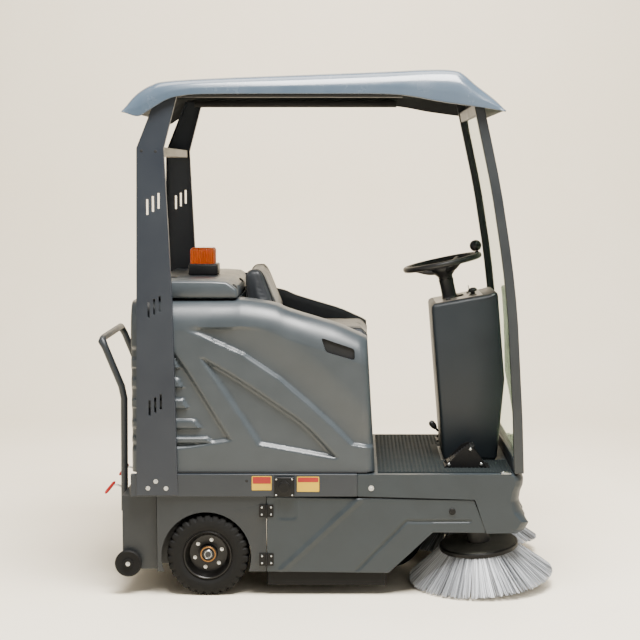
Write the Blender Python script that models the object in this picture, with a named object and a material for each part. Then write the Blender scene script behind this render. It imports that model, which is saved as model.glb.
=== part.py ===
"""Ride-on floor sweeper, built as separate named pieces.

Metres. +X is forward, +Y is the driver's left and +Z is up. The origin is on the floor, under the
middle of the machine's outline. Each moving piece hangs from an empty that stands on its joint's axis.
"""

from math import atan2, cos, pi, radians, sin, tan

import bmesh
import bpy
from mathutils import Matrix, Vector

# Driving dimensions.
SIDES = (("right", -1), ("left", 1))
GAP = 0.0003
SHEET = 0.004

RAIL_LOW, RAIL_HIGH = 0.4003, 0.489
RAIL_OUTER = 0.4997
PANEL_OUTER = 0.490
FLOOR_BEAM_HIGH = 0.440
DECK_TOP = 0.487

REAR_WHEEL = (-0.468, 0.162)
REAR_WHEEL_RADIUS = 0.162
RIM_RADIUS = 0.097
TYRE_OUTER, TYRE_INNER = 0.495, 0.395
AXLE_RADIUS = 0.012
ARCH_CENTRE = (-0.4735, 0.158)
ARCH_RADIUS = 0.178

FRONT_WHEEL = (0.26, 0.140)
FRONT_WHEEL_RADIUS = 0.140

HOOD_HALF = 0.478
HOOD_LOW = 0.493
HOOD_WALL = 0.006
HOOD_FRONT = 0.194
HOOD_FRONT_LEAN = 0.0568
HOOD_CREST = ((-0.768, 1.140), (-0.745, 1.168), (-0.399, 1.173), (-0.318, 1.175),
              (-0.205, 1.157), (-0.133, 1.129), (0.069, 1.068), (0.163, 1.036))
RIM_CREST_Y = 0.37
SEAT_FLOOR = 0.930
SEAT_RECESS_REAR = -0.340
SEAT_RECESS_HALF = 0.335
TRAY = (-0.66, -0.39, 0.33, 1.115)

HATCH_REAR, HATCH_FRONT = -0.70, -0.346
HATCH_LOW, HATCH_HIGH = 1.1765, 1.245

DOOR_HINGE = (-0.235, 0.4955)
DOOR_OUTLINE = ((-0.2335, 0.3985), (0.584, 0.384), (0.634, 0.253), (0.423, 0.255),
                (0.248, 0.092), (-0.2335, 0.098))

CONSOLE_HALF = 0.18
STEERING_CENTRE = Vector((0.4815, 0.0, 1.296))
STEERING_TILT = radians(12)
STEERING_RING, STEERING_GRIP = 0.1555, 0.0135
SPINNER_RADIUS = 0.026

PILLAR_OUTER = 0.505
PILLAR_WEB = 0.005
PILLAR_FLANGE = 0.025
POST_PATH = ((0.585, 1.975), (0.597, 1.915), (0.670, 1.565), (0.725, 1.175), (0.751, 0.781),
             (0.762, 0.4885))
POST_DEPTH = 0.038
POST_INNER, POST_OUTER = 0.460, 0.490

ROOF_HALF = 0.530
ROOF_TOP = ((-0.781, 1.9125), (-0.744, 1.956), (-0.672, 2.013), (-0.620, 2.026), (-0.398, 2.040),
            (-0.057, 2.053), (0.219, 2.064), (0.400, 2.073), (0.496, 2.071), (0.535, 2.056),
            (0.583, 2.014), (0.656, 1.956), (0.695, 1.912))
ROOF_EAVE = ((-0.781, 1.905), (-0.720, 1.886), (-0.678, 1.908), (-0.611, 1.948), (-0.559, 1.963),
             (-0.456, 1.971), (-0.057, 1.972), (0.219, 1.971), (0.330, 1.962), (0.433, 1.943),
             (0.516, 1.931), (0.578, 1.923), (0.695, 1.906))
ROOF_SHEET = 0.006

BRUSH_CENTRE = Vector((0.618, 0.305, 0.168))
BRUSH_RADIUS = 0.295
BRUSH_DROP = 0.131
BRUSH_DISC_RADIUS = 0.159
BRUSH_FRONT_UP = radians(4.5)
BRUSH_OUTSIDE_DOWN = radians(5)
BRUSH_ARM_PIVOT = (0.30, 0.33)

BROOM = (-0.11, 0.135)
BROOM_RADIUS = 0.130
BROOM_PIVOT = (0.10, 0.30)

BIN_REAR, BIN_STEP, BIN_FRONT = -0.809, -0.672, -0.33
BIN_REAR_HALF, BIN_FRONT_HALF = 0.455, 0.36
BIN_LOW, BIN_HIGH = 0.100, 0.395
BIN_WALL = 0.004
BIN_WHEEL = (-0.784, 0.128)
BIN_WHEEL_RADIUS = 0.0535
HANDLE_HALF = 0.28
HANDLE_TUBE = 0.014

PEDAL_Y = 0.315
PEDAL_HEEL = (0.488, 0.502)

PLANES = {"X": (1, 2, 0), "Y": (0, 2, 1), "Z": (0, 1, 2)}


# ---------------------------------------------------------------- modelling tools


def make_material(name, colour, roughness, metallic=0.0):
    material = bpy.data.materials.new(name)
    material.use_nodes = True
    shader = material.node_tree.nodes["Principled BSDF"]
    shader.inputs["Base Color"].default_value = (*colour, 1.0)
    shader.inputs["Roughness"].default_value = roughness
    shader.inputs["Metallic"].default_value = metallic
    return material


def add_object(name, bm, material=None, sharp=35):
    """Turns a bmesh into a linked object whose round faces are shaded smooth."""
    bmesh.ops.recalc_face_normals(bm, faces=bm.faces)
    mesh = bpy.data.meshes.new(name)
    bm.to_mesh(mesh)
    bm.free()
    mesh.shade_smooth()
    mesh.set_sharp_from_angle(angle=radians(sharp))
    if material:
        mesh.materials.append(material)
    obj = bpy.data.objects.new(name, mesh)
    bpy.context.scene.collection.objects.link(obj)
    return obj


def loft(name, rings, material=None, closed=False):
    """Skins a list of rings of points. The ends are capped, or joined when closed is true."""
    bm = bmesh.new()
    rows = [[bm.verts.new(point) for point in ring] for ring in rings]
    count = len(rows[0])
    pairs = list(zip(rows, rows[1:]))
    if closed:
        pairs.append((rows[-1], rows[0]))
    for one, two in pairs:
        for i in range(count):
            j = (i + 1) % count
            bm.faces.new((one[i], one[j], two[j], two[i]))
    if not closed:
        bm.faces.new(rows[0])
        bm.faces.new(rows[-1])
    bmesh.ops.remove_doubles(bm, verts=bm.verts, dist=1e-6)
    return add_object(name, bm, material)


def prism(name, outline, axis, low, high, material=None):
    """Extrudes an outline from low to high along an axis."""
    first, second, along = PLANES[axis]
    rings = []
    for level in (low, high):
        ring = []
        for u, v in outline:
            point = [0.0, 0.0, 0.0]
            point[first], point[second], point[along] = u, v, level
            ring.append(point)
        rings.append(ring)
    return loft(name, rings, material)


def block(name, low, high, material=None):
    """A rectangular block between two opposite corners."""
    outline = ((low[0], low[1]), (high[0], low[1]), (high[0], high[1]), (low[0], high[1]))
    return prism(name, outline, "Z", low[2], high[2], material)


def turned(name, profile, frame, segments, material=None):
    """Turns a (radius, height) profile about the frame's Z axis. Its last point joins its first."""
    rings = []
    for i in range(segments):
        # Half a step of turn puts a flat facet, not a corner, on each axis of the frame.
        angle = 2 * pi * (i + 0.5) / segments
        rings.append([frame @ Vector((r * cos(angle), r * sin(angle), h)) for r, h in profile])
    bm = bmesh.new()
    rows = [[bm.verts.new(point) for point in ring] for ring in rings]
    count = len(profile)
    for i in range(segments):
        one, two = rows[i], rows[(i + 1) % segments]
        for k in range(count):
            n = (k + 1) % count
            if profile[k][0] == 0 and profile[n][0] == 0:
                continue
            bm.faces.new((one[k], one[n], two[n], two[k]))
    bmesh.ops.remove_doubles(bm, verts=bm.verts, dist=1e-6)
    return add_object(name, bm, material)


def sweep(name, path, radius, sides, material=None):
    """A round bar along a path, with flat ends."""
    path = [Vector(point) for point in path]
    forward = (path[1] - path[0]).normalized()
    across = forward.orthogonal().normalized()
    rings = []
    for i, point in enumerate(path):
        before = path[max(i - 1, 0)]
        after = path[min(i + 1, len(path) - 1)]
        ahead = (after - before).normalized()
        across = (across - ahead * across.dot(ahead)).normalized()
        up = ahead.cross(across)
        # The joint between two straight runs is widened so that the bar keeps its thickness.
        bend = (point - before).normalized().dot(ahead) if 0 < i < len(path) - 1 else 1.0
        ring = []
        for k in range(sides):
            angle = 2 * pi * k / sides
            ring.append(point + (across * cos(angle) + up * sin(angle)) * radius / max(bend, 0.7))
        rings.append(ring)
    return loft(name, rings, material)


def smooth_path(points, steps):
    """A Catmull-Rom curve through the points, with this many steps between neighbours."""
    points = [Vector(point) for point in points]
    ends = [2 * points[0] - points[1]] + points + [2 * points[-1] - points[-2]]
    curve = []
    for i in range(1, len(ends) - 2):
        a, b, c, d = ends[i - 1:i + 3]
        for k in range(steps):
            t = k / steps
            curve.append(0.5 * (2 * b + (c - a) * t + (2 * a - 5 * b + 4 * c - d) * t * t
                                + (3 * b - a - 3 * c + d) * t ** 3))
    return curve + [points[-1]]


def ribbon(path, thickness):
    """The outline of a band of even thickness whose middle follows a flat path."""
    one, two = [], []
    for i, point in enumerate(path):
        ahead = (path[min(i + 1, len(path) - 1)] - path[max(i - 1, 0)]).normalized()
        side = Vector((-ahead.y, ahead.x)) * thickness / 2
        one.append(tuple(point + side))
        two.append(tuple(point - side))
    return one + two[::-1]


def arc(centre, radius, start, end, steps):
    """Points on a circle, from one angle in degrees to another."""
    return [(centre[0] + radius * cos(radians(start + (end - start) * i / steps)),
             centre[1] + radius * sin(radians(start + (end - start) * i / steps)))
            for i in range(steps + 1)]


def at_height(curve, x):
    """The height of a chain of (x, height) points at x."""
    for (x0, z0), (x1, z1) in zip(curve, curve[1:]):
        if x <= x1:
            return z0 + (z1 - z0) * (x - x0) / (x1 - x0)
    return curve[-1][1]


def boolean(obj, other, operation):
    modifier = obj.modifiers.new(operation.lower(), "BOOLEAN")
    modifier.operation = operation
    modifier.object = other
    other.hide_render = True
    other.display_type = "WIRE"
    return obj


def cut(obj, *cutters):
    for cutter in cutters:
        boolean(obj, cutter, "DIFFERENCE")
    return obj


def fuse(obj, *others):
    for other in others:
        boolean(obj, other, "UNION")
    return obj


def round_edges(obj, width, segments=2, angle=40):
    modifier = obj.modifiers.new("rounded", "BEVEL")
    modifier.width = width
    modifier.segments = segments
    modifier.limit_method = "ANGLE"
    modifier.angle_limit = radians(angle)
    modifier.use_clamp_overlap = True
    return obj


def turn_to(direction, point):
    """A frame at the point whose Z axis lies along the direction."""
    direction = Vector(direction)
    if direction.normalized() == Vector((0, 0, 1)):
        return Matrix.Translation(point)
    turn = Vector((0, 0, 1)).rotation_difference(direction)
    return Matrix.Translation(point) @ turn.to_matrix().to_4x4()


def pivot(name, point, members, parent=None):
    """Hangs pieces from an empty on their joint's axis, with their cutters."""
    empty = bpy.data.objects.new(name, None)
    empty.empty_display_size = 0.05
    bpy.context.scene.collection.objects.link(empty)
    offset = Vector(point)
    if parent:
        empty.parent = parent
        offset = offset - world_place[parent.name]
    empty.location = offset
    world_place[name] = Vector(point)
    waiting = list(members)
    while waiting:
        obj = waiting.pop()
        obj.data.transform(Matrix.Translation(-Vector(point)))
        obj.parent = empty
        waiting += [m.object for m in obj.modifiers if m.type == "BOOLEAN"]
    return empty


# ---------------------------------------------------------------- fixed frame


def make_side_rails():
    for side, sign in SIDES:
        outer, lip = RAIL_OUTER * sign, (RAIL_OUTER - 0.025) * sign
        web = (RAIL_OUTER - SHEET) * sign
        outline = ((outer, RAIL_LOW), (lip, RAIL_LOW), (lip, RAIL_LOW + SHEET), (web, RAIL_LOW + SHEET),
                   (web, RAIL_HIGH - SHEET), (lip, RAIL_HIGH - SHEET), (lip, RAIL_HIGH),
                   (outer, RAIL_HIGH))
        prism(f"side_rail_{side}", outline, "X", -0.768, 0.1237, STEEL)


def make_floor_frame():
    """A ladder of beams between the rails, with a tongue forward under the deck."""
    half, tongue = 0.4740, 0.12
    outline = ((-0.765, -half), (0.115, -half), (0.115, -tongue), (0.73, -tongue), (0.73, tongue),
               (0.115, tongue), (0.115, half), (-0.765, half))
    frame = prism("floor_frame", outline, "Z", RAIL_LOW, FLOOR_BEAM_HIGH, FRAME_STEEL)
    low, high = RAIL_LOW - 0.01, FLOOR_BEAM_HIGH + 0.01
    cut(frame,
        block("rear_window_cutter", (-0.725, -0.37, low), (-0.36, 0.37, high)),
        block("battery_window_cutter", (-0.32, -0.37, low), (0.075, 0.37, high)),
        block("tongue_window_cutter", (0.36, -0.08, low), (0.69, 0.08, high)))


def make_wheel_panels():
    """Folded side sheets with a round wheel arch and the fixed leaves of the door hinges."""
    for side, sign in SIDES:
        outer, inner, lip = (PANEL_OUTER * sign, (PANEL_OUTER - SHEET) * sign,
                             (PANEL_OUTER - 0.02) * sign)
        outline = ((-0.667, outer), (-0.236, outer), (-0.236, lip), (-0.240, lip), (-0.240, inner),
                   (-0.663, inner), (-0.663, lip), (-0.667, lip))
        panel = prism(f"wheel_panel_{side}", outline, "Z", 0.098, RAIL_LOW - GAP, PAINTED_SHEET)
        arch = turned(f"arch_cutter_{side}", ((0, -0.02), (ARCH_RADIUS, -0.02), (ARCH_RADIUS, 0.02),
                                              (0, 0.02)),
                      turn_to((0, 1, 0), (ARCH_CENTRE[0], outer, ARCH_CENTRE[1])), 40)
        cut(panel, arch)
        for height in (0.147, 0.342):
            reach = sorted((sign * 0.4885, sign * 0.4945))
            leaf = block(f"hinge_leaf_{side}_{int(height * 1000)}", (-0.262, reach[0], height - 0.024),
                         (-0.2382, reach[1], height + 0.024))
            knuckle = turned(f"hinge_knuckle_{side}_{int(height * 1000)}",
                             ((0, -0.024), (0.0045, -0.024), (0.0045, 0.024), (0, 0.024)),
                             Matrix.Translation((DOOR_HINGE[0], DOOR_HINGE[1] * sign, height)), 12)
            fuse(panel, leaf, knuckle)


def make_front_body():
    """The moulded nose under the driver's feet, open below and arched over the side brushes."""
    outline = [(0.1242, 0.4003), (0.588, 0.3865), (0.640, 0.2505), (0.765, 0.223), (0.800, 0.243),
               (0.817, 0.279), (0.780, 0.335), (0.770, 0.377), (0.779, 0.412), (0.787, 0.442)]
    outline += arc((0.757, 0.457), 0.030, 0, 90, 4)
    outline += [(0.1242, DECK_TOP)]
    body = round_edges(prism("front_body", outline, "Y", -0.495, 0.495, MOULDED_GREY), 0.012)
    pocket = block("front_pocket_cutter", (0.05, -0.465, 0.10), (0.735, 0.465, 0.455))
    cut(body, pocket)
    for side, sign in SIDES:
        arch = [(sign * 0.12, 0.10), (sign * 0.455, 0.10), (sign * 0.455, 0.27), (sign * 0.40, 0.315),
                (sign * 0.18, 0.315), (sign * 0.12, 0.27)]
        cut(body, prism(f"brush_arch_cutter_{side}", arch, "X", 0.60, 0.90))


def make_deck_mat():
    notch_half, notch_rear = CONSOLE_HALF + 0.004, 0.470
    outline = ((0.205, -0.455), (0.735, -0.455), (0.735, -notch_half), (notch_rear, -notch_half),
               (notch_rear, notch_half), (0.735, notch_half), (0.735, 0.455), (0.205, 0.455))
    prism("deck_mat", outline, "Z", DECK_TOP + GAP, DECK_TOP + 0.0035, TREAD_RUBBER)


def make_pillars():
    """Folded channels that taper upwards and lean forward at the top. The web is cut with slots."""
    levels = ((0.406, -0.745, -0.582), (1.178, -0.737, -0.597), (1.765, -0.729, -0.624),
              (1.985, -0.640, -0.566))
    for side, sign in SIDES:
        rings = []
        for height, rear, front in levels:
            outer = PILLAR_OUTER * sign
            web = (PILLAR_OUTER - PILLAR_WEB) * sign
            lip = (PILLAR_OUTER - PILLAR_FLANGE) * sign
            section = ((rear, outer), (front, outer), (front, lip), (front - PILLAR_WEB, lip),
                       (front - PILLAR_WEB, web), (rear + PILLAR_WEB, web), (rear + PILLAR_WEB, lip),
                       (rear, lip))
            rings.append([(x, y, height) for x, y in section])
        pillar = loft(f"pillar_{side}", rings, STEEL)
        foot = sorted((sign * 0.5003, sign * 0.44))
        cut(pillar, block(f"pillar_foot_cutter_{side}", (-0.80, foot[0], 0.39), (-0.52, foot[1], 0.4955)))
        for row, height in enumerate((0.765, 1.150, 1.550)):
            for column in (-1, 0, 1):
                middle = -0.667 + 0.022 * column
                low, high = height - 0.030 + 0.012 * column, height + 0.030 + 0.012 * column
                reach = sorted((sign * 0.49, sign * 0.52))
                cut(pillar, block(f"slot_cutter_{side}_{row}_{column + 1}", (middle - 0.004, reach[0], low),
                                  (middle + 0.004, reach[1], high)))


def make_pillar_crossbar():
    outline = ((-0.722, 1.737), (-0.632, 1.737), (-0.632, 1.741), (-0.718, 1.741), (-0.718, 1.766),
               (-0.632, 1.766), (-0.632, 1.770), (-0.722, 1.770))
    prism("pillar_crossbar", outline, "Y", -0.4795, 0.4795, STEEL)


def make_windshield():
    path = smooth_path(POST_PATH, 4)
    outline = ribbon(path, POST_DEPTH)
    for side, sign in SIDES:
        low, high = sorted((sign * POST_INNER, sign * POST_OUTER))
        prism(f"post_{side}", outline, "Y", low, high, STEEL)
    half = POST_INNER - GAP
    middle = [point for point in path if 0.56 < point.y < 1.89]
    prism("windshield_header", ribbon([Vector((0.593, 1.940)), Vector((0.602, 1.895))], 0.030), "Y",
          -half, half, STEEL)
    sill = ((0.740, 0.4885), (0.776, 0.4885), (0.773, 0.548), (0.737, 0.548))
    prism("windshield_sill", sill, "Y", -half, half, STEEL)
    glass = [Vector((0.7568, 0.5485))] + middle[::-1] + [Vector((0.6030, 1.8935))]
    prism("windshield_glass", ribbon(glass, 0.005), "Y", -half, half, GLASS)


def make_roof():
    """One moulded sheet: a flat crown, rounded shoulders and a skirt down to the eaves."""
    stations = [ROOF_TOP[0][0] + 0.0001]
    stations += [-0.765, -0.744, -0.720, -0.695, -0.672, -0.645, -0.611, -0.559, -0.456, -0.25, -0.057,
                 0.219, 0.330, 0.433, 0.496, 0.516, 0.535, 0.560, 0.583, 0.620, 0.656, 0.680]
    stations += [ROOF_TOP[-1][0] - 0.0001]
    # Each shoulder point is (share of the half width, share of the height from eave to crown).
    half = ((1.0, 0.0), (0.990, 0.42), (0.968, 0.68), (0.925, 0.88), (0.860, 0.965), (0.72, 0.99),
            (0.40, 1.0))
    across = half + tuple((-share, rise) for share, rise in half[::-1])
    bm = bmesh.new()
    rows = []
    for x in stations:
        top, eave = at_height(ROOF_TOP, x), at_height(ROOF_EAVE, x)
        rows.append([bm.verts.new((x, share * ROOF_HALF, eave + rise * (top - eave))) for share,
                     rise in across])
    for one, two in zip(rows, rows[1:]):
        for k in range(len(across) - 1):
            bm.faces.new((one[k], two[k], two[k + 1], one[k + 1]))
    roof = add_object("roof_shell", bm, ROOF_PLASTIC)
    if roof.data.polygons[len(roof.data.polygons) // 2].normal.z < 0:
        roof.data.flip_normals()
    skin = roof.modifiers.new("sheet", "SOLIDIFY")
    skin.thickness = ROOF_SHEET
    skin.offset = -1


def make_console():
    outline = ((0.480, 0.488), (0.700, 0.488), (0.731, 0.822), (0.700, 1.186), (0.660, 1.173),
               (0.428, 1.131), (0.438, 1.020))
    console = round_edges(prism("steering_console", outline, "Y", -CONSOLE_HALF, CONSOLE_HALF,
                                MOULDED_DARK), 0.014)
    wall = 0.006
    inner = ((0.480 + wall, 0.46), (0.700 - wall, 0.46), (0.731 - wall, 0.822), (0.693, 1.170),
             (0.655, 1.160), (0.436, 1.120), (0.444, 1.020))
    cut(console, prism("console_hollow_cutter", inner, "Y", -CONSOLE_HALF + wall, CONSOLE_HALF - wall))


def make_charging_socket():
    round_edges(block("charging_socket", (-0.202, -0.516, 0.402), (-0.124, -RAIL_OUTER - GAP, 0.480),
                      BLACK_PLASTIC),
                0.003)
    flap = turned("charging_flap", ((0, 0), (0.024, 0), (0.024, 0.004), (0.020, 0.006), (0, 0.006)),
                  turn_to((0, -1, 0), (-0.163, -0.5165, 0.440)), 24, BLACK_PLASTIC)
    tab = block("flap_tab_helper", (-0.170, -0.5210, 0.455), (-0.156, -0.5168, 0.4675))
    fuse(flap, tab)
    pivot("flap_pivot", (-0.163, -0.5188, 0.466), [flap])


def make_under_hood():
    round_edges(block("battery_pack", (-0.345, -0.33, FLOOR_BEAM_HIGH + GAP), (0.105, 0.33, 0.700),
                      BLACK_PLASTIC),
                0.008)
    profile = ((0, 0), (0.135, 0), (0.135, 0.085), (0.075, 0.090), (0.075, 0.200), (0.060, 0.212),
               (0, 0.212))
    turned("suction_fan", profile, Matrix.Translation((-0.540, 0.0, FLOOR_BEAM_HIGH + GAP)), 32,
           FRAME_STEEL)
    for side, sign in SIDES:
        low, high = sorted((sign * 0.376, sign * 0.386))
        plate = block(f"wheel_bracket_{side}", (-0.528, low, 0.130), (-0.408, high, RAIL_LOW - GAP),
                      FRAME_STEEL)
        axle = turned(f"axle_helper_{side}", ((0, -0.004), (AXLE_RADIUS, -0.004), (AXLE_RADIUS, 0.092),
                                              (0, 0.092)),
                      turn_to((0, sign, 0), (REAR_WHEEL[0], sign * 0.386, REAR_WHEEL[1])), 24)
        fuse(plate, axle)


def make_broom_housing():
    outer, inner = 0.470, 0.4655
    outline = ((-outer, 0.115), (-inner, 0.115), (-inner, 0.391), (inner, 0.391), (inner, 0.115),
               (outer, 0.115),
               (outer, 0.396), (-outer, 0.396))
    housing = prism("broom_housing", outline, "X", -0.233, 0.235, FRAME_STEEL)
    cut(housing, block("fork_room_cutter", (0.06, -0.45, 0.30), (0.25, 0.45, 0.41)))
    for side, sign in SIDES:
        low, high = sorted((sign * 0.4703, sign * 0.4755))
        block(f"side_skirt_{side}", (-0.230, low, 0.040), (0.235, high, 0.170), RUBBER)


# ---------------------------------------------------------------- hood, seat and hatch


def hood_body(name, inset, low, material=None):
    """The hood's outer form, or the same form pulled in by inset."""
    rings = []
    for i, (x, crest) in enumerate(HOOD_CREST):
        wide, top = HOOD_HALF - inset, crest - inset
        half = [(wide, low), (wide, top - 0.115), (wide - 0.008, top - 0.072), (wide - 0.030, top - 0.034),
                (wide - 0.065, top - 0.008), (RIM_CREST_Y - inset, top)]
        section = half + [(-y, z) for y, z in half[::-1]]
        ring = []
        for y, z in section:
            if i == len(HOOD_CREST) - 1:
                place = HOOD_FRONT - HOOD_FRONT_LEAN * (z - HOOD_LOW) - inset
            else:
                place = x + (inset if i == 0 else 0)
            ring.append((place, y, z))
        rings.append(ring)
    return loft(name, rings, material)


def seat_recess(name, grow):
    low, half = SEAT_FLOOR - grow, SEAT_RECESS_HALF + grow
    return block(name, (SEAT_RECESS_REAR - grow, -half, low), (0.30, half, 1.40))


def tray(name, grow):
    rear, front, half, low = TRAY
    return block(name, (rear - grow, -half - grow, low - grow), (front + grow, half + grow, 1.40))


def make_hood():
    hood = hood_body("hood_shell", 0.0, HOOD_LOW, MOULDED_GREY)
    hollow = hood_body("hood_hollow_cutter", HOOD_WALL, HOOD_LOW - 0.05)
    cut(hollow, seat_recess("recess_wall_cutter", HOOD_WALL), tray("tray_wall_cutter", HOOD_WALL))
    cut(hood, hollow, seat_recess("seat_recess_cutter", 0.0), tray("tray_cutter", 0.0))
    grip = ((-0.018, 1.026), (0.113, 0.981), (0.114, 0.937), (0.001, 0.970))
    for side, sign in SIDES:
        low, high = sorted((sign * 0.435, sign * 0.50))
        cut(hood, prism(f"grip_cutter_{side}", grip, "Y", low, high))
    rails = ((-0.20, 0.9305), (0.20, 0.9305), (0.20, 0.955), (0.165, 0.955), (0.165, 0.937),
             (-0.165, 0.937),
             (-0.165, 0.955), (-0.20, 0.955))
    slides = prism("seat_rails", rails, "X", -0.27, 0.15, FRAME_STEEL)
    hood_pivot = pivot("hood_pivot", (HOOD_FRONT, 0, HOOD_LOW), [hood, slides])
    make_seat(hood_pivot)
    make_hatch(hood_pivot)


def make_seat(hood_pivot):
    cushion_outline = ((-0.205, 0.9565), (0.150, 0.9565), (0.178, 0.985), (0.178, 1.020), (0.155, 1.042),
                       (-0.100, 1.040), (-0.150, 1.052), (-0.188, 1.052))
    cushion = round_edges(prism("seat_cushion", cushion_outline, "Y", -0.245, 0.245, VINYL), 0.016, 3)
    back_outline = ((-0.2060, 0.9565), (-0.300, 0.9565), (-0.327, 1.150), (-0.334, 1.265), (-0.318, 1.286),
                    (-0.275, 1.290), (-0.262, 1.270), (-0.200, 1.116), (-0.1925, 1.054), (-0.2060, 1.054))
    back = round_edges(prism("seat_back", back_outline, "Y", -0.235, 0.235, VINYL), 0.012, 2)
    pivot("seat_slide_pivot", (0.0, 0, 0.9565), [cushion, back], hood_pivot)


def make_hatch(hood_pivot):
    outline = ((HATCH_REAR, HATCH_LOW), (HATCH_FRONT, HATCH_LOW), (-0.352, 1.214),
               (-0.392, HATCH_HIGH - 0.004),
               (-0.450, HATCH_HIGH), (-0.680, HATCH_HIGH), (HATCH_REAR, HATCH_HIGH - 0.015))
    hatch = round_edges(prism("top_hatch", outline, "Y", -0.42, 0.42, MOULDED_GREY), 0.010)
    cut(hatch, block("hatch_hollow_cutter", (-0.690, -0.40, 1.10), (-0.370, 0.40, 1.205)))
    base = round_edges(block("beacon_base", (-0.578, -0.062, HATCH_HIGH + GAP), (-0.456, 0.062, 1.292),
                             BLACK_PLASTIC), 0.006)
    lens = round_edges(block("beacon_lens", (-0.572, -0.056, 1.2925), (-0.470, 0.056, 1.360), AMBER), 0.008)
    pivot("hatch_pivot", (HATCH_REAR, 0, HATCH_LOW + 0.004), [hatch, base, lens], hood_pivot)


# ---------------------------------------------------------------- doors and wheels


def make_doors():
    for side, sign in SIDES:
        low, high = sorted((sign * (PANEL_OUTER - SHEET), sign * PANEL_OUTER))
        door = prism(f"door_{side}", DOOR_OUTLINE, "Y", low, high, PAINTED_SHEET)
        lock = turned(f"lock_helper_{side}", ((0, -0.003), (0.014, -0.003), (0.014, 0.004), (0, 0.004)),
                      turn_to((0, sign, 0), (0.499, sign * PANEL_OUTER, 0.337)), 16)
        fuse(door, lock)
        for height in (0.147, 0.342):
            reach = sorted((sign * 0.4885, sign * 0.4925))
            fuse(door, block(f"door_leaf_{side}_{int(height * 1000)}", (-0.2290, reach[0], height - 0.024),
                             (-0.2080, reach[1], height + 0.024)))
        pivot(f"door_pivot_{side}", (DOOR_HINGE[0], sign * DOOR_HINGE[1], 0.248), [door])


def facet_radius(radius, segments):
    """The corner radius whose flat facets lie at the given radius."""
    return radius / cos(pi / segments)


def make_rear_wheels():
    segments = 40
    out = facet_radius(REAR_WHEEL_RADIUS, segments)
    width = TYRE_OUTER - TYRE_INNER
    tyre_profile = ((RIM_RADIUS + GAP, 0.006), (0.118, 0.0), (0.140, 0.002), (out - 0.006, 0.010),
                    (out, 0.018),
                    (out, width - 0.018), (out - 0.006, width - 0.010), (0.140, width - 0.002),
                    (0.118, width),
                    (RIM_RADIUS + GAP, width - 0.006))
    bore = AXLE_RADIUS + 0.0006
    rim_profile = ((bore, 0.012), (0.034, 0.012), (0.034, 0.030), (0.070, 0.040), (0.082, 0.070),
                   (0.086, 0.010),
                   (RIM_RADIUS, 0.006), (RIM_RADIUS, width - 0.006), (0.086, width - 0.004), (0.080, 0.078),
                   (0.072, 0.055), (0.040, 0.050), (0.034, 0.072), (bore, 0.072))
    for side, sign in SIDES:
        place = turn_to((0, sign, 0), (REAR_WHEEL[0], sign * TYRE_INNER, REAR_WHEEL[1]))
        tyre = turned(f"tyre_{side}", tyre_profile, place, segments, TYRE_RUBBER)
        rim = turned(f"rim_{side}", rim_profile, place, segments, BLACK_STEEL)
        pivot(f"wheel_pivot_{side}", (REAR_WHEEL[0], sign * (TYRE_INNER + width / 2), REAR_WHEEL[1]),
              [tyre, rim])


def make_front_wheel():
    """A steered drive wheel in a fork below the floor frame."""
    x, z = FRONT_WHEEL
    head = turned("front_fork", ((0, 0.3300), (0.055, 0.3300), (0.055, RAIL_LOW - GAP),
                                 (0, RAIL_LOW - GAP)),
                  Matrix.Translation((x, 0, 0)), 24, FRAME_STEEL)
    crown = block("fork_crown_helper", (x - 0.035, -0.072, 0.300), (x + 0.035, 0.072, 0.3345))
    fuse(head, crown)
    for side, sign in SIDES:
        low, high = sorted((sign * 0.056, sign * 0.070))
        fuse(head, block(f"fork_leg_helper_{side}", (x - 0.028, low, 0.105), (x + 0.028, high, 0.3100)))
    axle = turned("fork_axle_helper", ((0, -0.060), (AXLE_RADIUS, -0.060), (AXLE_RADIUS, 0.060),
                                       (0, 0.060)),
                  turn_to((0, 1, 0), (x, 0, z)), 16)
    fuse(head, axle)
    fork_pivot = pivot("fork_pivot", (x, 0, RAIL_LOW), [head])
    segments = 40
    out = facet_radius(FRONT_WHEEL_RADIUS, segments)
    bore = AXLE_RADIUS + 0.0006
    profile = ((bore, -0.050), (0.040, -0.050), (0.040, -0.030), (0.095, -0.030), (0.100, -0.042),
               (out - 0.008, -0.042),
               (out, -0.034), (out, 0.034), (out - 0.008, 0.042), (0.100, 0.042), (0.095, 0.030),
               (0.040, 0.030),
               (0.040, 0.050), (bore, 0.050))
    wheel = turned("front_wheel", profile, turn_to((0, 1, 0), (x, 0, z)), segments, TYRE_RUBBER)
    pivot("front_wheel_pivot", (x, 0, z), [wheel], fork_pivot)


# ---------------------------------------------------------------- steering and controls


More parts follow.
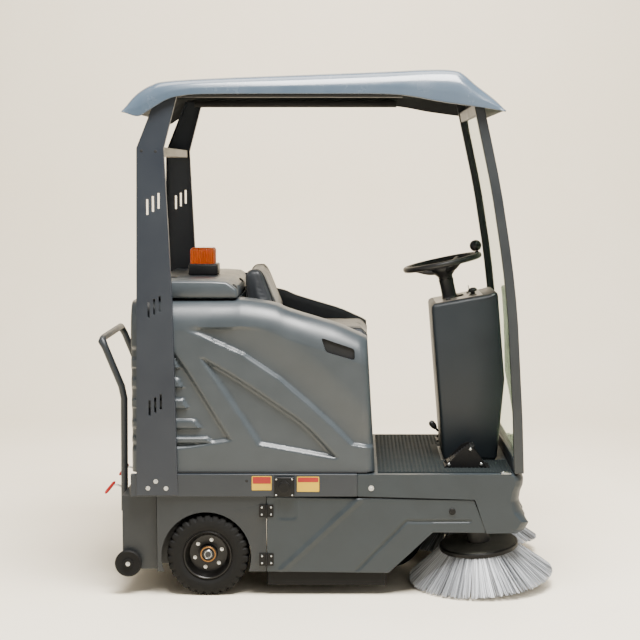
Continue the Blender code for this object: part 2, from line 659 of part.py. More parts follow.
def make_steering():
    place = Matrix.Translation(STEERING_CENTRE) @ Matrix.Rotation(-STEERING_TILT, 4, "Y")
    grip = [(STEERING_RING + x, y) for x, y in arc((0, 0), STEERING_GRIP, 0, 315, 7)]
    wheel = turned("steering_wheel", grip, place, 36, BLACK_PLASTIC)
    hub = turned("steering_hub_helper", ((0, -0.147), (0.016, -0.147), (0.026, -0.060), (0.040, -0.040),
                                         (0.046, -0.012), (0.030, -0.004), (0, -0.002)), place, 20)
    fuse(wheel, hub)
    for i in range(3):
        angle = radians(60 + 120 * i)
        ahead = Vector((cos(angle), sin(angle), 0))
        path = [place @ (ahead * reach + Vector((0, 0, drop))) for reach, drop in
                ((0.030, -0.024), (0.080, -0.018), (0.120, -0.006), (STEERING_RING, 0.0))]
        fuse(wheel, sweep(f"spoke_helper_{i}", path, 0.009, 8))
    stem = turned("spinner_stem_helper", ((0, -0.016), (0.008, -0.016), (0.008, 0.004), (0, 0.004)),
                  place @ Matrix.Translation((0.150, 0.0, STEERING_GRIP)), 12)
    fuse(wheel, stem)
    steering_pivot = pivot("steering_pivot", STEERING_CENTRE, [wheel])
    knob_profile = ((0, 0), (0.014, 0), (0.022, 0.008), (SPINNER_RADIUS, 0.022), (0.022, 0.036),
                    (0.012, 0.044),
                    (0, 0.046))
    knob_place = place @ Matrix.Translation((0.150, 0.0, STEERING_GRIP + 0.0045))
    knob = turned("spinner_knob", knob_profile, knob_place, 20, BLACK_PLASTIC)
    pivot("spinner_pivot", knob_place.translation, [knob], steering_pivot)


def panel_frame(x, y, lift):
    """A frame standing square on the console's sloping top panel."""
    slope = atan2(1.173 - 1.131, 0.660 - 0.428)
    height = 1.131 + (x - 0.428) * tan(slope)
    return Matrix.Translation((x, y, height)) @ Matrix.Rotation(-slope, 4, "Y") @ Matrix.Translation((0, 0,
                                                                                                      lift))


def make_controls():
    stop_frame = panel_frame(0.606, -0.090, 0.0005)
    stop = turned("stop_button", ((0, 0), (0.009, 0), (0.009, 0.010), (0.019, 0.012), (0.019, 0.019),
                                  (0.012, 0.026),
                                  (0, 0.028)), panel_frame(0.606, -0.090, 0.0065), 20, RED_PLASTIC)
    pivot("stop_pivot", stop_frame.translation, [stop])
    key_frame = panel_frame(0.600, 0.060, 0.0005)
    key = turned("key_switch", ((0, 0), (0.013, 0), (0.013, 0.008), (0.010, 0.010), (0, 0.010)), key_frame,
                 20, CHROME)
    blade = block("key_blade_helper", (-0.0015, -0.011, 0.008), (0.0015, 0.011, 0.034))
    blade.data.transform(key_frame)
    fuse(key, blade)
    pivot("key_pivot", key_frame.translation, [key])
    lever_foot = Vector((0.4640, -0.060, 0.590))
    lever_tip = Vector((0.4330, -0.060, 0.628))
    lever = sweep("broom_lever", [lever_foot, lever_foot.lerp(lever_tip, 0.4)], 0.005, 10, BLACK_PLASTIC)
    grip = turned("lever_grip_helper", ((0, -0.004), (0.008, -0.004), (0.013, 0.010), (0.013, 0.026),
                                        (0.007, 0.034),
                                        (0, 0.035)), turn_to(lever_tip - lever_foot,
                                                             lever_foot.lerp(lever_tip, 0.4)), 16)
    fuse(lever, grip)
    pivot("lever_pivot", lever_foot, [lever])


def make_pedals():
    for name, y in (("accelerator_pedal", -PEDAL_Y), ("brake_pedal", PEDAL_Y)):
        plate = ribbon([Vector(PEDAL_HEEL), Vector((0.594, 0.578))], 0.010)
        pedal = round_edges(prism(name, plate, "Y", y - 0.045, y + 0.045, BLACK_PLASTIC), 0.003)
        pivot(f"{name}_pivot", (PEDAL_HEEL[0], y, PEDAL_HEEL[1]), [pedal])


# ---------------------------------------------------------------- brushes and broom


def brush_frame(sign):
    normal = Vector((-tan(BRUSH_FRONT_UP), sign * tan(BRUSH_OUTSIDE_DOWN), 1))
    centre = Vector((BRUSH_CENTRE.x, sign * BRUSH_CENTRE.y, BRUSH_CENTRE.z))
    return turn_to(normal, centre)


def make_side_brushes():
    """Each brush hangs from the motor on its lifting arm and leans forward and outward."""
    for side, sign in SIDES:
        place = brush_frame(sign)
        y = sign * BRUSH_CENTRE.y
        x, z = BRUSH_ARM_PIVOT
        arm = block(f"brush_arm_{side}", (x - 0.012, y - 0.030, z - 0.012), (0.640, y + 0.030, z + 0.012),
                    FRAME_STEEL)
        motor = turned(f"brush_motor_helper_{side}", ((0, 0.014), (0.046, 0.014), (0.046, 0.100),
                                                      (0.034, 0.165),
                                                      (0, 0.165)), place, 24)
        fuse(arm, motor)
        arm_pivot = pivot(f"brush_arm_pivot_{side}", (x, y, z), [arm])
        disc, tip = BRUSH_DISC_RADIUS, BRUSH_RADIUS
        profile = ((0, -0.014), (0.110, -0.014), (0.205, -BRUSH_DROP), (tip, -BRUSH_DROP + 0.001),
                   (0.240, -0.070), (disc, -0.012), (disc, 0.010), (0.060, 0.0125), (0, 0.0125))
        brush = turned(f"side_brush_{side}", profile, place, 48, BRISTLE)
        pivot(f"side_brush_pivot_{side}", place.translation, [brush], arm_pivot)


def make_main_broom():
    broom_pivot_point = (BROOM_PIVOT[0], 0, BROOM_PIVOT[1])
    low, high = -0.400, 0.400
    cross = turned("broom_arms", ((0, low), (0.015, low), (0.015, high), (0, high)),
                   turn_to((0, 1, 0), broom_pivot_point), 16, FRAME_STEEL)
    along = Vector((BROOM[0] - BROOM_PIVOT[0], BROOM[1] - BROOM_PIVOT[1]))
    ahead = along.normalized()
    reach = [Vector(BROOM_PIVOT) - ahead * 0.02, Vector(BROOM) + ahead * 0.02]
    for side, sign in SIDES:
        ends = sorted((sign * 0.388, sign * 0.397))
        fuse(cross, prism(f"broom_plate_helper_{side}", ribbon(reach, 0.044), "Y", ends[0], ends[1]))
        stub = sorted((sign * 0.368, sign * 0.390))
        fuse(cross, turned(f"broom_stub_helper_{side}", ((0, stub[0]), (0.010, stub[0]), (0.010, stub[1]),
                                                         (0, stub[1])),
                           turn_to((0, 1, 0), (BROOM[0], 0, BROOM[1])), 16))
    arms = pivot("broom_lift_pivot", broom_pivot_point, [cross])
    bore, end = 0.0106, 0.382
    profile = ((bore, -end), (0.060, -end), (0.060, -0.372), (BROOM_RADIUS, -0.372), (BROOM_RADIUS, 0.372),
               (0.060, 0.372), (0.060, end), (bore, end))
    broom = turned("main_broom", profile, turn_to((0, 1, 0), (BROOM[0], 0, BROOM[1])), 32, BRISTLE)
    pivot("main_broom_pivot", (BROOM[0], 0, BROOM[1]), [broom], arms)


# ---------------------------------------------------------------- dust bin


def make_dust_bin():
    """A drawer under the tail: wide behind the wheels, narrow between them, open above and in front."""
    outline = ((BIN_REAR, -BIN_REAR_HALF), (BIN_STEP, -BIN_REAR_HALF), (BIN_STEP, -BIN_FRONT_HALF),
               (BIN_FRONT, -BIN_FRONT_HALF), (BIN_FRONT, BIN_FRONT_HALF), (BIN_STEP, BIN_FRONT_HALF),
               (BIN_STEP, BIN_REAR_HALF), (BIN_REAR, BIN_REAR_HALF))
    dust_bin = prism("dust_bin", outline, "Z", BIN_LOW, BIN_HIGH, PAINTED_SHEET)
    wall = BIN_WALL
    wide, narrow = BIN_REAR_HALF - wall, BIN_FRONT_HALF - wall
    inside = ((BIN_REAR + wall, -wide), (BIN_STEP - wall, -wide), (BIN_STEP - wall, -narrow),
              (BIN_FRONT + 0.05, -narrow), (BIN_FRONT + 0.05, narrow), (BIN_STEP - wall, narrow),
              (BIN_STEP - wall, wide), (BIN_REAR + wall, wide))
    cut(dust_bin, prism("bin_hollow_cutter", inside, "Z", BIN_LOW + wall, BIN_HIGH + 0.05))
    for side, sign in SIDES:
        axle = turned(f"bin_axle_helper_{side}", ((0, -0.002), (0.006, -0.002), (0.006, 0.030), (0, 0.030)),
                      turn_to((0, sign, 0), (BIN_WHEEL[0], sign * BIN_REAR_HALF, BIN_WHEEL[1])), 12)
        fuse(dust_bin, axle)
    bend = 0.045
    left_side = [(-0.824, 0.300), (-0.822, 0.560), (-0.820, 0.760), (-0.830, 0.810), (-0.866, 0.900),
                 (-0.894, 0.968)]
    run = [Vector((x, HANDLE_HALF, z)) for x, z in left_side]
    corner = [Vector((-0.907, HANDLE_HALF - bend * (1 - cos(radians(a))),
                      1.003 - 0.020 * (1 - sin(radians(a)))))
              for a in (30, 60, 90)]
    half_path = run + corner
    whole = half_path + [Vector((p.x, -p.y, p.z)) for p in half_path[::-1]]
    handle = sweep("bin_handle", whole, HANDLE_TUBE, 12, STEEL)
    bin_pivot = pivot("bin_pivot", (BIN_REAR, 0, BIN_LOW), [dust_bin, handle])
    for side, sign in SIDES:
        place = turn_to((0, sign, 0), (BIN_WHEEL[0], sign * BIN_REAR_HALF, BIN_WHEEL[1]))
        profile = ((0.0066, 0.004), (0.020, 0.004), (0.020, 0.008), (0.046, 0.008),
                   (BIN_WHEEL_RADIUS, 0.013),
                   (BIN_WHEEL_RADIUS, 0.027), (0.046, 0.032), (0.020, 0.032), (0.020, 0.036),
                   (0.0066, 0.036))
        wheel = turned(f"bin_wheel_{side}", profile, place, 28, RUBBER)
        pivot(f"bin_wheel_pivot_{side}", place @ Vector((0, 0, 0.02)), [wheel], bin_pivot)
        y = sign * 0.20
        latch_path = [(-0.8215, y, 0.352), (-0.834, y, 0.372), (-0.868, y, 0.392), (-0.893, y, 0.386),
                      (-0.915, y, 0.354)]
        latch = sweep(f"bin_latch_{side}", latch_path, 0.007, 8, RED_PLASTIC)
        pivot(f"latch_pivot_{side}", latch_path[0], [latch], bin_pivot)


# ---------------------------------------------------------------- build

for old in list(bpy.data.objects):
    bpy.data.objects.remove(old, do_unlink=True)

world_place = {}
STEEL = make_material("powder_coated_steel", (0.095, 0.112, 0.135), 0.45)
FRAME_STEEL = make_material("painted_frame_steel", (0.035, 0.037, 0.040), 0.55)
PAINTED_SHEET = make_material("painted_sheet_steel", (0.110, 0.122, 0.135), 0.42)
MOULDED_GREY = make_material("moulded_grey_plastic", (0.150, 0.165, 0.170), 0.40)
MOULDED_DARK = make_material("moulded_slate_plastic", (0.090, 0.108, 0.120), 0.50)
ROOF_PLASTIC = make_material("gloss_roof_plastic", (0.230, 0.280, 0.330), 0.25)
TREAD_RUBBER = make_material("tread_mat_rubber", (0.100, 0.105, 0.105), 0.75)
TYRE_RUBBER = make_material("tyre_rubber", (0.018, 0.018, 0.018), 0.80)
RUBBER = make_material("skirt_rubber", (0.022, 0.022, 0.022), 0.75)
BLACK_STEEL = make_material("black_enamelled_steel", (0.012, 0.012, 0.013), 0.25)
BLACK_PLASTIC = make_material("black_plastic", (0.015, 0.015, 0.016), 0.45)
RED_PLASTIC = make_material("red_plastic", (0.550, 0.020, 0.020), 0.35)
AMBER = make_material("amber_lens", (0.850, 0.180, 0.010), 0.15)
CHROME = make_material("chrome", (0.700, 0.700, 0.700), 0.12, 1.0)
VINYL = make_material("seat_vinyl", (0.020, 0.020, 0.021), 0.45)
GLASS = make_material("tinted_glass", (0.450, 0.600, 0.520), 0.05)
BRISTLE = make_material("bristle", (0.350, 0.350, 0.350), 0.70)

make_side_rails()
make_floor_frame()
make_wheel_panels()
make_front_body()
make_deck_mat()
make_pillars()
make_pillar_crossbar()
make_windshield()
make_roof()
make_console()
make_charging_socket()
make_under_hood()
make_broom_housing()
make_hood()
make_doors()
make_rear_wheels()
make_front_wheel()
make_steering()
make_controls()
make_pedals()
make_side_brushes()
make_main_broom()
make_dust_bin()
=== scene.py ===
"""The looks of a ride-on floor sweeper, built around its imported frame. Metres, +X forward, +Z up.

Most pieces are surfaces worked out as whole numpy arrays: a grid of points that a formula gives, or a
profile carried along a path. Flat sheet-metal pieces are merged copies of their frame nodes with rounded
edges.
"""

from math import atan2, cos, pi, radians, sin, tan

import bmesh
import bpy
import numpy as np
from mathutils import Matrix, Vector
from mathutils.bvhtree import BVHTree


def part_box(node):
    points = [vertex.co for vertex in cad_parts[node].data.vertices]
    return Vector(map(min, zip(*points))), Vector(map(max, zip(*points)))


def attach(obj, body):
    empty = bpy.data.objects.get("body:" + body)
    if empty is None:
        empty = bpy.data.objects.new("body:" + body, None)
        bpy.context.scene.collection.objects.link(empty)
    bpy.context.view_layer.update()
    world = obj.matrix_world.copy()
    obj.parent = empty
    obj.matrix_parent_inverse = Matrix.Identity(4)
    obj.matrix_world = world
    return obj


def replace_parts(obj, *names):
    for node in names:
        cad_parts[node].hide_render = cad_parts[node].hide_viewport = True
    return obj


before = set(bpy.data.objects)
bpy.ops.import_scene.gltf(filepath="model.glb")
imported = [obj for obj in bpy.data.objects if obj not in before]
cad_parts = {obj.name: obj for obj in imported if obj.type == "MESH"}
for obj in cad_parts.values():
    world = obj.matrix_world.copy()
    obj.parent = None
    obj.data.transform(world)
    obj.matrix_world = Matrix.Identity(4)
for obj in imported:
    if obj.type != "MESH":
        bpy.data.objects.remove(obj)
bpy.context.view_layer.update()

SIDES = (("right", -1), ("left", 1))
RNG = np.random.default_rng(7)


# ---------------------------------------------------------------- arrays of points


def smoothstep(value, low, high):
    """0 below low, 1 above high, and a cubic ease between them."""
    t = np.clip((value - low) / (high - low), 0, 1)
    return t * t * (3 - 2 * t)


def unit(vectors):
    """Each vector at length 1."""
    return vectors / np.linalg.norm(vectors, axis=-1, keepdims=True)


def chain(points, steps):
    """A Catmull-Rom curve through points of any dimension, with this many steps between neighbours."""
    points = np.asarray(points, float)
    ends = np.vstack([2 * points[0] - points[1], points, 2 * points[-1] - points[-2]])
    a, b, c, d = ends[:-3, None], ends[1:-2, None], ends[2:-1, None], ends[3:, None]
    t = (np.arange(steps) / steps)[None, :, None]
    curve = 0.5 * (2 * b + (c - a) * t + (2 * a - 5 * b + 4 * c - d) * t**2 + (3 * b - a - 3 * c + d) * t**3)
    return np.vstack([curve.reshape(-1, points.shape[1]), points[-1]])


def skin(points, wrap=False):
    """Faces over a grid of points (rows, columns, 3). Columns always wrap. Rows wrap too, or both ends are
    capped."""
    rows, columns = points.shape[:2]
    i = np.arange(rows if wrap else rows - 1)[:, None]
    j = np.arange(columns)[None, :]
    n, k = (i + 1) % rows, (j + 1) % columns
    quads = np.stack([i * columns + j, i * columns + k, n * columns + k, n * columns + j], -1)
    faces = quads.reshape(-1, 4).tolist()
    if not wrap:
        faces += [list(range(columns))[::-1], list(range((rows - 1) * columns, rows * columns))]
    return points.reshape(-1, 3), faces


def sheet(points):
    """Faces over an open grid of points (rows, columns, 3)."""
    rows, columns = points.shape[:2]
    i, j = np.arange(rows - 1)[:, None], np.arange(columns - 1)[None, :]
    first, below = i * columns + j, (i + 1) * columns + j
    quads = np.stack([first, first + 1, below + 1, below], -1)
    return points.reshape(-1, 3), quads.reshape(-1, 4).tolist()


def merged(*parts):
    """Several (points, faces) pairs as one."""
    points, faces, start = [], [], 0
    for part_points, part_faces in parts:
        points.append(part_points)
        faces += [[index + start for index in face] for face in part_faces]
        start += len(part_points)
    return np.vstack(points), faces


def moved(part, matrix):
    """The part carried by a 4 x 4 matrix."""
    m = np.array(matrix, float)
    return part[0] @ m[:3, :3].T + m[:3, 3], part[1]


def repeated(part, matrices):
    """One copy of the part for each matrix."""
    m = np.array([np.array(matrix, float) for matrix in matrices])
    points = np.einsum("kij,nj->kni", m[:, :3, :3], part[0]) + m[:, None, :3, 3]
    size = len(part[0])
    faces = [[index + size * k for index in face] for k in range(len(m)) for face in part[1]]
    return points.reshape(-1, 3), faces


def lathe(profile, segments=48, wrap=False):
    """A profile of (radius, height) turned about Z. With wrap it closes on itself. Without, both ends are
    capped."""
    profile = np.asarray(profile, float)
    angle = 2 * pi * np.arange(segments) / segments
    ring = np.stack([np.cos(angle), np.sin(angle), np.zeros(segments)], -1)
    points = profile[:, None, :1] * ring[None] + np.array([0, 0, 1]) * profile[:, None, 1:]
    return skin(points, wrap)


def circles(side, up, sides):
    """A unit circle for each pair of directions, as (places, sides, 3): side times cosine plus up times
    sine."""
    angle = 2 * pi * np.arange(sides) / sides
    return side[:, None] * np.cos(angle)[None, :, None] + up[:, None] * np.sin(angle)[None, :, None]


def pipe(path, radius, sides):
    """A round bar along a path in the XZ plane: a circle stands square on each point, with one diameter
    along Y. The radius is one number or one for each point."""
    ahead = unit(np.gradient(path, axis=0))
    side = unit(np.cross(ahead, (0, 1, 0)))
    radius = np.broadcast_to(radius, len(path))[:, None, None]
    return skin(path[:, None] + circles(side, np.cross(side, ahead), sides) * radius)


def rounded_block(low, high, radius, steps=4):
    """A box with round edges: each eighth of a sphere's grid of directions is moved out to its own corner."""
    low, high = np.asarray(low, float), np.asarray(high, float)
    quarter = np.linspace(0, pi / 2, steps + 1)
    around = np.concatenate([quarter + k * pi / 2 for k in range(4)])
    rise = np.concatenate([quarter - pi / 2, quarter])
    corner_x = np.repeat([1, -1, -1, 1], steps + 1)
    corner_y = np.repeat([1, 1, -1, -1], steps + 1)
    corner_z = np.repeat([-1, 1], steps + 1)
    direction = np.stack([np.cos(rise)[:, None] * np.cos(around), np.cos(rise)[:, None] * np.sin(around),
                          np.sin(rise)[:, None] * np.ones(len(around))], -1)
    sign = np.stack(np.broadcast_arrays(corner_x[None], corner_y[None], corner_z[:, None]), -1)
    return skin((low + high) / 2 + sign * ((high - low) / 2 - radius) + direction * radius)


def rounded_outline(low, high, radius, steps=6):
    """A rectangle in two dimensions with round corners, anticlockwise, as an array of points."""
    low, high = np.asarray(low, float), np.asarray(high, float)
    quarter = np.linspace(0, pi / 2, steps + 1)
    angle = np.concatenate([quarter + k * pi / 2 for k in range(4)])
    sign = np.stack([np.repeat([1, -1, -1, 1], steps + 1), np.repeat([1, 1, -1, -1], steps + 1)], -1)
    arcs = radius * np.stack([np.cos(angle), np.sin(angle)], -1)
    return (low + high) / 2 + sign * ((high - low) / 2 - radius) + arcs


def rounded_loop(corners, radius, steps=5):
    """A closed polygon with round corners, as an array of points: each corner becomes a quadratic curve."""
    corners = np.asarray(corners, float)
    start = corners + unit(np.roll(corners, 1, 0) - corners) * radius
    end = corners + unit(np.roll(corners, -1, 0) - corners) * radius
    t = np.linspace(0, 1, steps)[None, :, None]
    curve = (1 - t)**2 * start[:, None] + 2 * t * (1 - t) * corners[:, None] + t**2 * end[:, None]
    return curve.reshape(-1, 2)


def resampled(loop, count):
    """A closed outline as evenly spaced points."""
    closed = np.vstack([loop, loop[:1]])
    travelled = np.concatenate([[0], np.cumsum(np.linalg.norm(np.diff(closed, axis=0), axis=1))])
    at = np.linspace(0, travelled[-1], count, endpoint=False)
    return np.column_stack([np.interp(at, travelled, closed[:, k]) for k in range(closed.shape[1])])


def slab(outline, *distances):
    """An outline of (x, z) carried along Y, with one copy at each distance and both ends closed."""
    return skin(np.array([np.column_stack([outline[:, 0], np.full(len(outline), y), outline[:, 1]])
                          for y in distances]))


def stacked(outline, levels):
    """An outline in XY stacked up. Each level is (height, inset): the inset pulls the outline to its
    middle."""
    middle = (outline.min(0) + outline.max(0)) / 2
    half = (outline.max(0) - outline.min(0)) / 2
    rings = [np.column_stack([middle + (outline - middle) * (1 - inset / half),
                              np.full(len(outline), height)])
             for height, inset in levels]
    return skin(np.array(rings))


def facing(direction, point):
    """A matrix that carries Z to the direction and the origin to the point."""
    turn = Vector((0, 0, 1)).rotation_difference(Vector(direction)).to_matrix().to_4x4()
    return Matrix.Translation(point) @ turn


def distance_to(polyline, x, z):
    """The distance in the XZ plane from each point to a polyline: the least of its distances to the
    segments."""
    polyline = np.asarray(polyline, float)
    least = np.full(np.shape(x), np.inf)
    for start, step in zip(polyline, np.diff(polyline, axis=0)):
        t = np.clip(((x - start[0]) * step[0] + (z - start[1]) * step[1]) / (step @ step), 0, 1)
        least = np.minimum(least, np.hypot(x - start[0] - t * step[0], z - start[1] - t * step[1]))
    return least


def inside(polygon, x, z):
    """The signed distance to a closed polygon in the XZ plane, above 0 inside it. A point is inside where a
    line from it crosses the outline an odd number of times."""
    polygon = np.asarray(polygon, float)
    loop = np.vstack([polygon, polygon[:1]])
    crossings = np.zeros(np.shape(x), bool)
    for (x0, z0), (x1, z1) in zip(loop[:-1], loop[1:]):
        if z0 != z1:
            reach = x0 + (z - z0) * (x1 - x0) / (z1 - z0)
            crossings ^= ((z0 > z) != (z1 > z)) & (x < reach)
    return np.where(crossings, 1, -1) * distance_to(loop, x, z)


# ---------------------------------------------------------------- objects


def dress(obj, material, body, sharp=35):
    """Shades an object, gives it its material and slot, and lets it ride on its body."""
    obj.data.shade_smooth()
    obj.data.set_sharp_from_angle(angle=radians(sharp))
    obj.data.materials.clear()
    obj.data.materials.append(material)
    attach(obj, body)
    return obj


def bare(name, part, weld=True):
    """An object of a (points, faces) pair, its doubles merged unless weld is off, and its faces turned
    outwards."""
    mesh = bpy.data.meshes.new(name)
    mesh.from_pydata(part[0].tolist(), [], part[1])
    bm = bmesh.new()
    bm.from_mesh(mesh)
    if weld:
        bmesh.ops.remove_doubles(bm, verts=bm.verts, dist=1e-6)
    bmesh.ops.recalc_face_normals(bm, faces=bm.faces)
    bm.to_mesh(mesh)
    bm.free()
    obj = bpy.data.objects.new(name, mesh)
    bpy.context.scene.collection.objects.link(obj)
    return obj


def piece(name, part, material, body, sharp=35, weld=True):
    """A finished piece of a (points, faces) pair."""
    return dress(bare(name, part, weld), material, body, sharp)


def bake(obj):
    """Applies the object's modifiers."""
    bpy.context.view_layer.update()
    graph = bpy.context.evaluated_depsgraph_get()
    result = bpy.data.meshes.new_from_object(obj.evaluated_get(graph), depsgraph=graph)
    obj.modifiers.clear()
    obj.data = result


def coordinates(obj):
    """The object's points, as an array of three columns."""
    values = np.empty(len(obj.data.vertices) * 3)
    obj.data.vertices.foreach_get("co", values)
    return values.reshape(-1, 3)


def put_coordinates(obj, values):
    """Moves the object's points to the given array."""
    obj.data.vertices.foreach_set("co", values.ravel())
    obj.data.update()


def carve(obj, cutters):
    """Cuts (points, faces) pairs out of an object and keeps only the result."""
    helpers = [bare("cutter", part) for part in cutters]
    for helper in helpers:
        modifier = obj.modifiers.new("cut", "BOOLEAN")
        modifier.object, modifier.solver = helper, "EXACT"
    bake(obj)
    for helper in helpers:
        bpy.data.objects.remove(helper, do_unlink=True)


def round_edges(obj, width, segments=3):
    """Rounds every edge that turns by more than 30 degrees."""
    modifier = obj.modifiers.new("rounded edges", "BEVEL")
    modifier.width, modifier.segments = width, segments
    modifier.limit_method, modifier.angle_limit = "ANGLE", radians(30)


def thicken(obj, thickness, inner=None):
    """Gives an open surface a wall on its inner side, with another material inside if one is given."""
    modifier = obj.modifiers.new("wall", "SOLIDIFY")
    modifier.thickness, modifier.offset = thickness, -1
    modifier.use_even_offset = True
    if inner:
        obj.data.materials.append(inner)
        modifier.material_offset = 1


def refined(node, material, body, bevel):
    """A merged copy of a frame node with rounded edges, which stands for that node."""
    obj = bpy.data.objects.new(f"{node}_finished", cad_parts[node].data.copy())
    bpy.context.scene.collection.objects.link(obj)
    bm = bmesh.new()
    bm.from_mesh(obj.data)
    bmesh.ops.remove_doubles(bm, verts=bm.verts, dist=1e-5)
    bmesh.ops.dissolve_limit(bm, angle_limit=radians(1), verts=bm.verts, edges=bm.edges)
    bm.to_mesh(obj.data)
    bm.free()
    if bevel:
        round_edges(obj, bevel)
    dress(obj, material, body)
    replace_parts(obj, node)


# ---------------------------------------------------------------- materials


def linear(code):
    """An sRGB hex colour as linear RGBA."""
    rgb = np.array([int(code[k:k + 2], 16) for k in (1, 3, 5)]) / 255
    return (*np.where(rgb <= 0.04045, rgb / 12.92, ((rgb + 0.055) / 1.055) ** 2.4), 1.0)


def add(tree, kind, inputs=(), **settings):
    """Adds a shader node with its settings, input values and links. It returns the node."""
    made = tree.nodes.new("ShaderNode" + kind)
    for key, value in settings.items():
        setattr(made, key, value)
    for key, value in dict(inputs).items():
        if isinstance(value, bpy.types.NodeSocket):
            tree.links.new(value, made.inputs[key])
        else:
            made.inputs[key].default_value = value
    return made


def blank(name, **shader_values):
    """A new material: its tree, its Principled shader with the given values, and Object coordinates."""
    material = bpy.data.materials.new(name)
    material.use_nodes = True
    tree = material.node_tree
    shader = tree.nodes["Principled BSDF"]
    for key, value in shader_values.items():
        shader.inputs[key.replace("_", " ")].default_value = value
    return material, tree, shader, add(tree, "TexCoord").outputs["Object"]


def surface(name, dark, light, rough, grain_mm, grain_height, patch_mm=120, dust=0.0, **shader_values):
    """The common finish: two close tones in broad patches, a fine grain as bump, uneven gloss and dust low
    down.

    grain_mm is the size of one grain, and patch_mm that of one patch. Noise of scale s has cells of about
    1/s metres.
    """
    material, tree, shader, where = blank(name, **shader_values)
    patches = add(tree, "TexNoise",
                  {"Vector": where, "Scale": 1000 / patch_mm, "Detail": 5.0, "Roughness": 0.6})
    tone = add(tree, "ValToRGB", {"Fac": patches.outputs["Fac"]})
    tone.color_ramp.elements[0].position, tone.color_ramp.elements[1].position = 0.32, 0.68
    tone.color_ramp.elements[0].color, tone.color_ramp.elements[1].color = linear(dark), linear(light)
    colour = tone.outputs["Color"]
    if dust:
        height = add(tree, "SeparateXYZ", {"Vector": where}).outputs["Z"]
        low_down = add(tree, "MapRange", {"Value": height, "From Min": 0.0, "From Max": 0.45, "To Min": dust,
                                          "To Max": 0.0})
        speckle = add(tree, "TexNoise", {"Vector": where, "Scale": 34.0, "Detail": 6.0, "Roughness": 0.7})
        amount = add(tree, "Math", {0: low_down.outputs["Result"], 1: speckle.outputs["Fac"]},
                     operation="MULTIPLY")
        colour = add(tree, "Mix", {"Factor": amount.outputs[0], "A": colour, "B": linear("#b9ab97")},
                     data_type="RGBA").outputs["Result"]
    tree.links.new(colour, shader.inputs["Base Color"])
    gloss = add(tree, "MapRange", {"Value": patches.outputs["Fac"], "From Min": 0.3, "From Max": 0.7,
                                   "To Min": rough - 0.05, "To Max": rough + 0.06})
    tree.links.new(gloss.outputs["Result"], shader.inputs["Roughness"])
    grain = add(tree, "TexNoise", {"Vector": where, "Scale": 1000 / grain_mm, "Detail": 3.0})
    bump = add(tree, "Bump", {"Height": grain.outputs["Fac"], "Strength": 0.5, "Distance": grain_height})
    tree.links.new(bump.outputs["Normal"], shader.inputs["Normal"])
    return material


